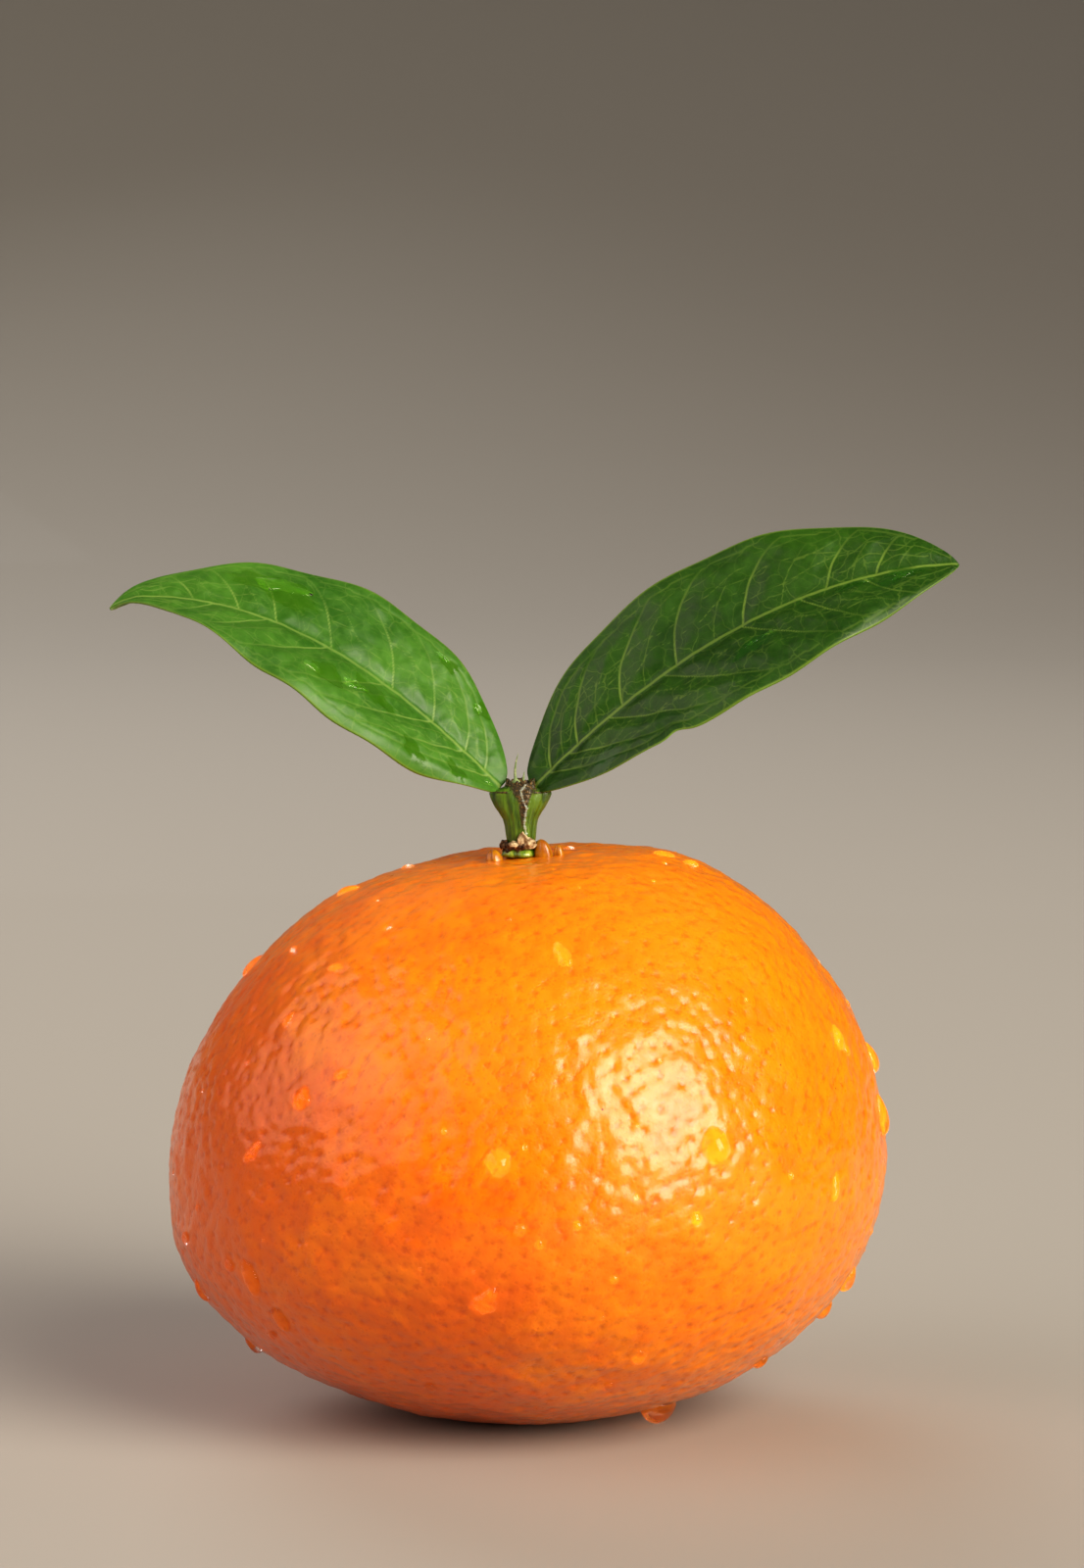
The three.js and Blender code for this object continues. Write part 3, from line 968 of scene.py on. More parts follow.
        # Near the flat spot the peel is pressed smooth.
        height = add(tree, Kind.SPLIT, place, out="Z")
        free = add(tree, Kind.STEP, height, 0.1 * MM, 2.5 * MM)
        left = add(tree, Kind.MULTIPLY, share, add(tree, Kind.SUBTRACT, 1.0, pull))
        bowl = add(tree, Kind.MULTIPLY, add(tree, Kind.STEP, left, 0.0, 1.0, 1.0, 0.0), strength)
        lip = add(tree, Kind.STEP, left, 1.9, 1.25)
        lip = add(tree, Kind.MULTIPLY, add(tree, Kind.STEP, left, 0.7, 1.25), lip)
        depth = add(tree, Kind.MULTIPLY_ADD, lip, -0.18, bowl)
        depth = add(tree, Kind.MULTIPLY, depth, entry["Pore Depth"])
        swell, cobble, broad = (
            add(tree, Kind.MULTIPLY_ADD, add(tree, Kind.NOISE, place, per_mm(size), 1.0), high * MM,
                -high / 2 * MM)
            for size, high in ((4.4, 0.5), (2.0, 0.4), (15, 0.9))
        )
        rise = add(tree, Kind.ADD, add(tree, Kind.ADD, swell, cobble), broad)
        offset = add(tree, Kind.MULTIPLY, add(tree, Kind.SUBTRACT, rise, depth), free)
        along = add(tree, Kind.SCALE, normal, offset)
        move = add(tree, Kind.VECTOR_ADD, along, add(tree, Kind.SCALE, drawn, free))

        # What the finish reads, taken before the corners move.
        way = add(tree, Kind.SCALE, add(tree, Kind.VECTOR_SUBTRACT, gap, drawn), 1 / MM)
        mask = add(tree, Kind.MULTIPLY, add(tree, Kind.STEP, share, 1.25, 0.8), strength)
        kept = add(tree, Kind.STORE, entry["Geometry"], "to_pore", way, data_type="FLOAT_VECTOR",
                   domain="POINT")
        kept = add(tree, Kind.STORE, kept, "near_pore", mask, data_type="FLOAT", domain="POINT")
        moved = add(tree, Kind.SET_POSITION, kept, move)
        made.finish(moved, PEEL.material)
        made.apply(piece)


# ------------------------------------------------------------------------ leaves


@dataclass(frozen=True)
class Patch:
    """A film of water on a leaf, in the leaf's flat measure.

    along and across give its middle in millimetres, from the base and from the midrib,
    long and wide its half sizes, and turn its slant in radians.
    """

    along: float
    across: float
    long: float
    wide: float
    turn: float = 0.0
    seed: int = 1


@dataclass
class Leaf:
    """One leaf: its midrib's slope, its blade's roll and outline, and its veins."""

    node: str
    side: int
    length: float
    half_width: float
    base_fullness: float
    tip_fullness: float
    rise: float
    droop: float
    tip_droop: float
    roll: float
    twist: float
    fold: float
    finish: CitrusLeaf
    far_veins: Sequence[float]
    near_veins: Sequence[float]
    near_tip: float = 0.0
    near_curl: float = 0.0
    curl_span: tuple[float, float] = (0.05, 0.8)
    tip_hook: float = 0.0
    notch: float = 0.0
    notch_at: float = 0.33
    wave_phase: float = 0.0
    thickness: float = 0.36
    rows: int = 250
    columns: int = 92
    wet: Sequence[Patch] = ()
    shift: np.ndarray = field(init=False)

    def __post_init__(self) -> None:
        """Finds the leaf's place, from the box of its node."""
        self.shift = np.zeros(3)
        u, s = np.meshgrid(np.linspace(0.008, 1, 60), np.linspace(-1, 1, 21), indexing="ij")
        points = self.bend(u, s, plain=True)[0].reshape(-1, 3)
        low, high = (np.array(corner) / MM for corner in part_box(self.node))
        self.shift = (low + high) / 2 - (points.min(0) + points.max(0)) / 2

    def width(self, u: np.ndarray) -> np.ndarray:
        """Half the blade's width.

        Args:
            u: shares of the length.

        Returns:
            The half widths, in millimetres.
        """
        a, b = self.base_fullness, self.tip_fullness
        widest = a / (a + b)
        u = np.clip(u, 0, 1)
        return self.half_width * (u / widest) ** a * ((1 - u) / (1 - widest)) ** b

    def bend(self, u: np.ndarray, s: np.ndarray, plain: bool = False) -> tuple[np.ndarray, np.ndarray]:
        """Carries the flat blade to where it grows.

        Args:
            u: share of the length, 0 at the base.
            s: share of the half width, -1 at the near margin and 1 at the far one.
            plain: leaves out the margin's waves and curls.

        Returns:
            Points in millimetres, and the upper face's normals.
        """
        steps = np.linspace(0, 1, 401)
        hook = 0.0 if plain else self.tip_hook
        slopes = self.rise + self.droop * steps + self.tip_droop * steps**2 + hook * smooth(0.9, 1.0, steps)
        stride = self.length / 400
        run = np.concatenate([[0], np.cumsum(np.cos((slopes[1:] + slopes[:-1]) / 2))]) * stride
        climb = np.concatenate([[0], np.cumsum(np.sin((slopes[1:] + slopes[:-1]) / 2))]) * stride
        slope = np.interp(u, steps, slopes)
        zero = np.zeros_like(u)
        midrib = np.stack([self.side * np.interp(u, steps, run), zero, np.interp(u, steps, climb)], -1)
        roll = self.roll + self.twist * u
        upright = np.stack([-self.side * np.sin(slope), zero, np.cos(slope)], -1)
        y = np.array([0.0, 1.0, 0.0])
        across = y * np.cos(roll)[..., None] + upright * np.sin(roll)[..., None]
        facing = -y * np.sin(roll)[..., None] + upright * np.cos(roll)[..., None]
        half = self.width(u)
        near = s < 0
        half = half * np.where(near, 1 - self.near_tip * smooth(0.72, 0.98, u), 1)
        if not plain:
            round_base = 1.25 * np.sqrt(np.clip(u / 0.014, 0, 1)) * (1 - smooth(0.02, 0.12, u))
            half = np.hypot(half, round_base)
        reach = np.abs(s)
        lift = half * np.sqrt(s**2 + 0.003) * math.sin(self.fold)
        if not plain:
            half = half * np.where(near, 1 - self.notch * np.exp(-(((u - self.notch_at) / 0.025) ** 2)), 1)
            ripple = np.sin(2 * math.pi * (4.3 * u + 0.1 * s) + self.wave_phase)
            lift = lift + 0.28 * ripple * reach**3 * np.sqrt(half / self.half_width)
            first, last = self.curl_span
            curled = smooth(first, first + 0.15, u) * (1 - smooth(last - 0.2, last, u))
            curled = curled * np.maximum(reach - 0.72, 0) ** 2 * 13
            lift = lift - np.where(near, self.near_curl, 0.25) * curled
        point = midrib + across * (half * s * math.cos(self.fold))[..., None] + facing * lift[..., None]
        tilt = -np.sign(s) * np.minimum(reach / 0.1, 1) * math.sin(self.fold)
        return point + self.shift, unit(facing + across * tilt[..., None])

    def vein_paths(self) -> dict[Rank, list[np.ndarray]]:
        """Lays out the veins on the flat blade.

        Returns:
            For each rank, its paths as rows of along and across, in millimetres.
        """
        rng = np.random.default_rng(len(self.node))
        paths: dict[Rank, list[np.ndarray]] = {rank: [] for rank in Rank}
        a = np.linspace(0, self.length * 0.995, 120)
        paths[Rank.MIDRIB].append(np.stack([a, 0.0 * a], -1))
        for side, starts, leave, arrive in ((1, self.far_veins, 66, 32), (-1, self.near_veins, 52, 22)):
            for start, after in zip(starts, [*starts[1:], starts[-1] + 5]):
                paths[Rank.LATERAL].append(self.vein(start, side, leave, arrive, 0.86, rng))
                between = start + (after - start) * rng.uniform(0.42, 0.58)
                paths[Rank.THIN].append(
                    self.vein(between, side, leave - 4, arrive + 10, rng.uniform(0.4, 0.62), rng)
                )
                for share in (0.3, 0.55, 0.8):
                    paths[Rank.THIN].append(self.rung(start, after, side, share, leave, rng))
        return paths

    def vein(self, start: float, side: int, leave: float, arrive: float, until: float,
             rng: np.random.Generator) -> np.ndarray:
        """One side vein, which bends towards the tip and then follows the margin.

        Args:
            start: where it leaves the midrib, from the base.
            side: 1 on the far half, -1 on the near one.
            leave: its angle from the midrib there, in degrees.
            arrive: its angle where it nears the margin.
            until: the share of the half width at which it turns along the margin.
            rng: the source of its small wanderings.

        Returns:
            Rows of along and across.
        """
        path = [(start, 0.0)]
        extra = 0
        wander = 0.0
        while extra < 9 and path[-1][0] < self.length * 0.985:
            a, b = path[-1]
            limit = max(float(self.width(np.array(a / self.length))), 0.2)
            share = min(abs(b) / limit / until, 1.0)
            wander = 0.7 * wander + rng.normal(0, 2.4)
            angle = math.radians(leave + (arrive - leave) * share**1.3 + wander)
            if share >= 0.999:
                ahead = float(self.width(np.array(min(a + 0.6, self.length) / self.length)))
                angle = math.atan2((ahead - limit) * until - 0.05, 0.6)
                extra += 1
            path.append((a + 0.5 * math.cos(angle), b + side * 0.5 * math.sin(angle)))
        return np.array(path)

    def rung(self, start: float, after: float, side: int, share: float, leave: float,
             rng: np.random.Generator) -> np.ndarray:
        """A thin cross vein from one side vein to the next.

        Args:
            start: where the first side vein leaves the midrib.
            after: where the next one does.
            side: 1 on the far half, -1 on the near one.
            share: how far out it lies, as a share of the half width.
            leave: the side veins' angle from the midrib, in degrees.
            rng: the source of its small wanderings.

        Returns:
            Rows of along and across.
        """
        half = float(self.width(np.array((start + after) / 2 / self.length)))
        b = half * share * rng.uniform(0.85, 1.1)
        drift = b / math.tan(math.radians(leave)) * 1.25
        t = np.linspace(0, 1, 14)
        sway = 0.5 * np.sin(t * math.pi * rng.uniform(1.2, 2.4)) * rng.choice([-1, 1])
        return np.stack([start + drift + (after - start) * t, side * (b + sway + 0.6 * (t - 0.5))], -1)

    def wetness(self, along: np.ndarray, across: np.ndarray) -> np.ndarray:
        """How wet the upper face is.

        Args:
            along: places along the midrib, in millimetres.
            across: the same places across it.

        Returns:
            Shares from 0 to 1, over 0.5 inside a film of water.
        """
        total = np.zeros_like(along)
        for patch in self.wet:
            cos, sin = math.cos(patch.turn), math.sin(patch.turn)
            p = ((along - patch.along) * cos + (across - patch.across) * sin) / patch.long
            q = (-(along - patch.along) * sin + (across - patch.across) * cos) / patch.wide
            turn = np.arctan2(q, p)
            rim = 1 + 0.16 * np.sin(3 * turn + patch.seed) + 0.1 * np.sin(5 * turn + 2.3 * patch.seed)
            rim = rim + 0.06 * np.sin(9 * turn + 4.1 * patch.seed)
            total = np.maximum(total, 1 - 0.5 * np.hypot(p, q) / rim)
        return np.clip(total, 0, 1)

    def build(self) -> bpy.types.Object:
        """Makes the blade, raises its veins and dresses it.

        Returns:
            The piece that stands for the leaf.
        """
        rows, columns = ((self.rows, self.columns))
        u = np.linspace(0, 1, rows)
        u = 0.004 + 0.996 * (0.75 * u + 0.25 * (1 - np.cos(math.pi * u)) / 2)
        k = np.linspace(-1, 1, columns)
        s = 0.6 * k + 0.4 * np.sin(k * math.pi / 2)

        # Round the section: over the upper face to the far margin, and back below.
        ring_s = np.concatenate([s, s[-2:0:-1]])
        ring_side = np.concatenate([np.ones(columns), -np.ones(columns - 2)])
        ring_side[[0, columns - 1]] = 0
        uu, ss = np.meshgrid(u, ring_s, indexing="ij")
        bent, facing = self.bend(uu, ss)
        ends = smooth(0.0, 0.02, uu) * smooth(1.0, 0.985, uu)
        full = np.sqrt(np.clip(1 - np.abs(ss) ** 14, 0, 1)) * (0.35 + 0.65 * ends)
        width = self.width(uu)
        flat = np.stack([uu * self.length, ss * width, np.zeros_like(uu)], -1)
        side = np.broadcast_to(ring_side, uu.shape)
        faces = [tuple(f[::self.side]) for f in grid_faces(rows, ring_s.size, closed=True)]
        first = list(range(ring_s.size))
        last = [i + (rows - 1) * ring_s.size for i in first]
        faces += [tuple(first[::-self.side]), tuple(last[::self.side])]

        piece = make_object(self.node + "_blade", flat.reshape(-1, 3), faces)
        values = {
            "bent": bent.reshape(-1, 3) * MM,
            "facing": facing.reshape(-1, 3),
            "half": (side * full * self.thickness / 2).ravel() * MM,
            "upper": (side > 0).astype(float).ravel(),
            "below": (side < 0).astype(float).ravel(),
            "flat": flat.reshape(-1, 3) + np.array([0, 0, 7.0]) * (side < 0).reshape(-1, 1),
            "edge": np.abs(ss).ravel(),
            "wet": (self.wetness(flat[..., 0], flat[..., 1]) * (side > 0)).ravel(),
        }
        for name, value in values.items():
            set_attribute(piece, name, value)
        self.raise_veins(piece)
        return finish_piece(piece, [self.node])

    def raise_veins(self, piece: bpy.types.Object) -> None:
        """Bends the flat blade to its place, with its veins in relief.

        Args:
            piece: the flat blade with its attributes.
        """
        guides = []
        for rank, paths in self.vein_paths().items():
            points = np.concatenate(paths)
            edges, start = [], 0
            for path in paths:
                edges += [(start + i, start + i + 1) for i in range(len(path) - 1)]
                start += len(path)
            mesh = bpy.data.meshes.new(rank.value)
            mesh.from_pydata((np.pad(points, ((0, 0), (0, 1))) * MM).tolist(), edges, [])
            guide = bpy.data.objects.new(rank.value, mesh)
            bpy.context.scene.collection.objects.link(guide)
            guides.append(guide)

        made = GeometryTree("leaf_veins_" + self.node, [
            TreeInput(guide.name, "NodeSocketObject", guide) for guide in guides
        ] + [TreeInput("Quilting", "NodeSocketFloat", 0.3 * MM)])
        tree, entry = made.tree, made.entry
        geometry = entry["Geometry"]
        away: dict[Rank, bpy.types.NodeSocket] = {}
        for rank, guide in zip(Rank, guides):
            shape = add(tree, "GeometryNodeObjectInfo", {"Object": entry[guide.name]}, out="Geometry")
            far = add(tree, "GeometryNodeProximity", shape, out="Distance", target_element="EDGES")
            away[rank] = add(tree, Kind.DIVIDE, far, MM)
            geometry = add(tree, Kind.STORE, geometry, rank.value, away[rank], data_type="FLOAT",
                           domain="POINT")
        kinds = dict.fromkeys(("bent", "facing", "flat"), "FLOAT_VECTOR")
        kinds |= dict.fromkeys(("half", "upper", "below", "edge"), "FLOAT")
        named = {
            name: add(tree, Kind.NAMED, {"Name": name}, data_type=kind) for name, kind in kinds.items()
        }

        # Above, the midrib is a low ridge in a shallow channel and the side veins are fine
        # grooves between which the blade swells. Below, all of them stand out.
        flat_mm = named["flat"]
        along = add(tree, Kind.SPLIT, flat_mm, out="X")
        taper = add(tree, Kind.STEP, along, 0.0, self.length, 1.0, 0.35)
        ridge = add(tree, Kind.MULTIPLY, add(tree, Kind.STEP, away[Rank.MIDRIB], 0.42, 0.0), 0.1 * MM)
        channel = add(tree, Kind.MULTIPLY, add(tree, Kind.STEP, away[Rank.MIDRIB], 1.7, 0.2), -0.2 * MM)
        groove = add(tree, Kind.MULTIPLY, add(tree, Kind.STEP, away[Rank.LATERAL], 0.34, 0.0), -0.05 * MM)
        nearest = add(tree, Kind.MINIMUM, away[Rank.LATERAL], away[Rank.MIDRIB])
        quilt = add(tree, Kind.MULTIPLY, add(tree, Kind.STEP, nearest, 0.0, 2.3), entry["Quilting"])
        quilt = add(tree, Kind.MULTIPLY, quilt, add(tree, Kind.STEP, named["edge"], 0.95, 0.7))
        uneven = add(tree, Kind.NOISE, flat_mm, 1 / 2.6, 2.0)
        uneven = add(tree, Kind.MULTIPLY_ADD, uneven, 0.4 * MM, -0.2 * MM)
        uneven = add(tree, Kind.MULTIPLY, uneven, add(tree, Kind.STEP, named["edge"], 0.99, 0.8))
        above = add(tree, Kind.ADD, add(tree, Kind.ADD, ridge, channel), groove)
        keel = add(tree, Kind.MULTIPLY, add(tree, Kind.STEP, away[Rank.MIDRIB], 0.65, 0.0), -0.55 * MM)
        rib = add(tree, Kind.MULTIPLY, add(tree, Kind.STEP, away[Rank.LATERAL], 0.3, 0.0), -0.12 * MM)
        under = add(tree, Kind.ADD, keel, rib)
        above = add(tree, Kind.MULTIPLY, above, named["upper"])
        under = add(tree, Kind.MULTIPLY, under, named["below"])
        relief = add(tree, Kind.MULTIPLY, add(tree, Kind.ADD, above, under), taper)
        both = add(tree, Kind.STEP, along, 0.0, 4.0)
        both = add(tree, Kind.MULTIPLY, add(tree, Kind.ADD, quilt, uneven), both)
        total = add(tree, Kind.ADD, add(tree, Kind.ADD, relief, both), named["half"])
        offset = add(tree, Kind.SCALE, named["facing"], total)
        moved = add(tree, Kind.SET_POSITION, geometry, offset)
        plug(moved.node, {"Position": named["bent"]})
        made.finish(moved, self.finish.material)
        made.apply(piece)
        for guide in guides:
            bpy.data.meshes.remove(guide.data)


# -------------------------------------------------------------------------- twig


def polyline_distance(x: np.ndarray, z: np.ndarray, path: Sequence[tuple[float, float]]) -> np.ndarray:
    """How far each place is from a broken line, both seen from the front.

    Args:
        x: the places' first coordinate.
        z: their height.
        path: the line's corners.

    Returns:
        The distances, in the same unit.
    """
    nearest = np.full(np.shape(x), np.inf)
    for (ax, az), (bx, bz) in zip(path, path[1:]):
        dx, dz = bx - ax, bz - az
        share = np.clip(((x - ax) * dx + (z - az) * dz) / (dx * dx + dz * dz), 0, 1)
        nearest = np.minimum(nearest, np.hypot(x - ax - share * dx, z - az - share * dz))
    return nearest


@dataclass
class Twig:
    """The stub of the twig: round at its foot, spread to a shoulder under each leaf, cut off.

    rings holds its outline, from the foot up: the height above the foot, its reach to
    the left, to the right and to the front.
    """

    rings: Sequence[tuple[float, float, float, float]] = (
        (0.0, 1.3, 1.3, 1.3), (0.45, 1.52, 1.5, 1.45), (1.2, 1.66, 1.56, 1.52), (2.1, 1.78, 1.64, 1.58),
        (2.8, 1.98, 1.8, 1.62), (3.4, 2.34, 2.1, 1.68), (4.1, 2.84, 2.55, 1.72), (4.8, 3.2, 2.92, 1.74),
        (5.4, 3.38, 3.14, 1.68), (5.75, 3.3, 3.1, 1.64), (5.95, 2.5, 2.4, 1.6), (6.15, 1.8, 1.62, 1.54),
        (6.5, 1.64, 1.46, 1.5), (6.82, 1.58, 1.42, 1.44), (6.9, 1.46, 1.3, 1.34), (6.74, 1.2, 1.05, 1.1),
        (6.5, 0.85, 0.75, 0.8), (6.42, 0.4, 0.35, 0.35), (6.4, 0.02, 0.02, 0.02),
    )
    rivulet: Sequence[tuple[float, float]] = (
        (0.15, 67.6), (-0.35, 66.9), (0.04, 65.6), (0.32, 65.1), (0.14, 64.5), (0.04, 63.3), (0.24, 62.3),
    )
    around: int = 168
    along: int = 170
    rim_ragged: float = 0.14
    axis: float = -0.32
    bark_depth: float = 0.11

    def build(self) -> bpy.types.Object:
        """Makes the stub, with its corky band and its cut, and dresses it.

        Returns:
            The piece that stands for the stem.
        """
        low, high = (np.array(corner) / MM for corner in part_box("stem"))
        rings = np.array(self.rings)
        chord = np.concatenate([[0], np.cumsum(np.hypot(np.diff(rings[:, 0]), np.diff(rings[:, 1])))])
        where = np.linspace(0, chord[-1], self.along)
        z, left, right, depth = (np.interp(where, chord, rings[:, i]) for i in range(4))
        kernel = np.array([1, 2, 3, 2, 1]) / 9
        z, left, right, depth = (
            np.concatenate([a[:2], np.convolve(a, kernel, "valid"), a[-2:]])
            for a in (z, left, right, depth)
        )
        turn = np.linspace(0, 2 * math.pi, self.around, endpoint=False)
        cos, sin = np.cos(turn)[None, :], np.sin(turn)[None, :]
        reach = np.where(cos < 0, left[:, None], right[:, None])
        ribs = 1 + 0.018 * np.sin(13 * turn + 0.9) + 0.014 * np.sin(22 * turn)
        ribs = ribs + 0.012 * np.sin(5 * turn + 2)
        x = reach * cos * ribs[None, :]
        y = depth[:, None] * np.sign(sin) * np.abs(sin) ** 0.9 * ribs[None, :]
        ragged = np.sin(4 * turn + 1) + 0.7 * np.sin(9 * turn) + 0.5 * np.sin(17 * turn + 2)
        top = smooth(6.3, 6.8, z)[:, None] * np.clip(np.hypot(x, y) / 1.3, 0, 1) ** 2
        height = z[:, None] + low[2] + self.rim_ragged * ragged[None, :] * top
        points = np.stack([self.axis + x, y, np.broadcast_to(height, x.shape)], -1)

        # The band of cork runs down the front and the back from the cut; under each leaf
        # there is a thin scar.
        rise = np.clip((points[..., 2] - low[2]) / (high[2] - low[2]), 0, 1)
        width = np.interp(rise, [0, 0.3, 0.55, 0.75, 0.9, 1.0], [0.2, 0.45, 0.65, 0.95, 1.7, 2.2])
        band = np.exp(-(((points[..., 0] + 0.05) / width) ** 2)) * smooth(-0.1, -0.6, y)
        behind = np.exp(-(((points[..., 0] + 0.4) / (0.8 * width)) ** 2)) * smooth(0.1, 0.6, y)
        cork = np.maximum(band, behind) * np.interp(rise, [0.1, 0.3, 0.6, 0.85], [0, 0.5, 0.72, 1.0])
        scar = np.exp(-(((points[..., 2] - low[2] - 5.72) / 0.13) ** 2)) * (np.abs(x) > 1.4)
        cork = np.maximum.reduce([cork, 0.75 * scar, smooth(0.9, 0.96, rise)])
        # The rivulet's line: the bark's finish paints it pale as a painted glint, and the bark is raised a
        # little along it.
        away = polyline_distance(points[..., 0], points[..., 2], self.rivulet)
        breadth = 0.15 + 0.05 * np.sin(9 * points[..., 2]) + 0.05 * np.sin(23 * points[..., 2])
        streak = (1 - smooth(breadth * 0.5, breadth, away)) * (y < 0)

        faces = [tuple(f) for f in grid_faces(self.along, self.around, closed=True)]
        faces.append(tuple(range(self.around - 1, -1, -1)))
        end = (self.along - 1) * self.around
        faces.append(tuple(range(end, end + self.around)))
        piece = make_object("twig_stub", points.reshape(-1, 3), faces)
        set_attribute(piece, "cork", cork.ravel())
        set_attribute(piece, "streak", streak.ravel())
        self.roughen(piece)
        return finish_piece(piece, ["stem"])

    def roughen(self, piece: bpy.types.Object) -> None:
        """Gives the bark its ridges, rougher where there is cork.

        Args:
            piece: the smooth stub with its attributes.
        """
        made = GeometryTree("twig_bark", [TreeInput("Roughness", "NodeSocketFloat", self.bark_depth * MM)])
        tree, entry = made.tree, made.entry
        place = add(tree, Kind.POSITION)
        normal = add(tree, Kind.NORMAL)
        cork = add(tree, Kind.NAMED, {"Name": "cork"}, data_type="FLOAT")
        wet = add(tree, Kind.NAMED, {"Name": "streak"}, data_type="FLOAT")
        long = add(tree, Kind.VECTOR_MULTIPLY, place, (1, 1, 0.25))
        fine = add(tree, Kind.SUBTRACT, add(tree, Kind.NOISE, place, per_mm(0.42), 3.0), 0.5)
        ridges = add(tree, Kind.SUBTRACT, add(tree, Kind.NOISE, long, per_mm(0.6), 2.0), 0.5)
        crust = add(tree, Kind.MULTIPLY, add(tree, Kind.MULTIPLY, fine, cork), 3.2)
        rise = add(tree, Kind.ADD, crust, add(tree, Kind.MULTIPLY, ridges, 0.9))
        rise = add(tree, Kind.MULTIPLY, rise, entry["Roughness"])
        rise = add(tree, Kind.MULTIPLY_ADD, wet, 0.09 * MM, rise)
        offset = add(tree, Kind.SCALE, normal, rise)
        moved = add(tree, Kind.SET_POSITION, entry["Geometry"], offset)
        made.finish(moved, TWIG.material)
        made.apply(piece)


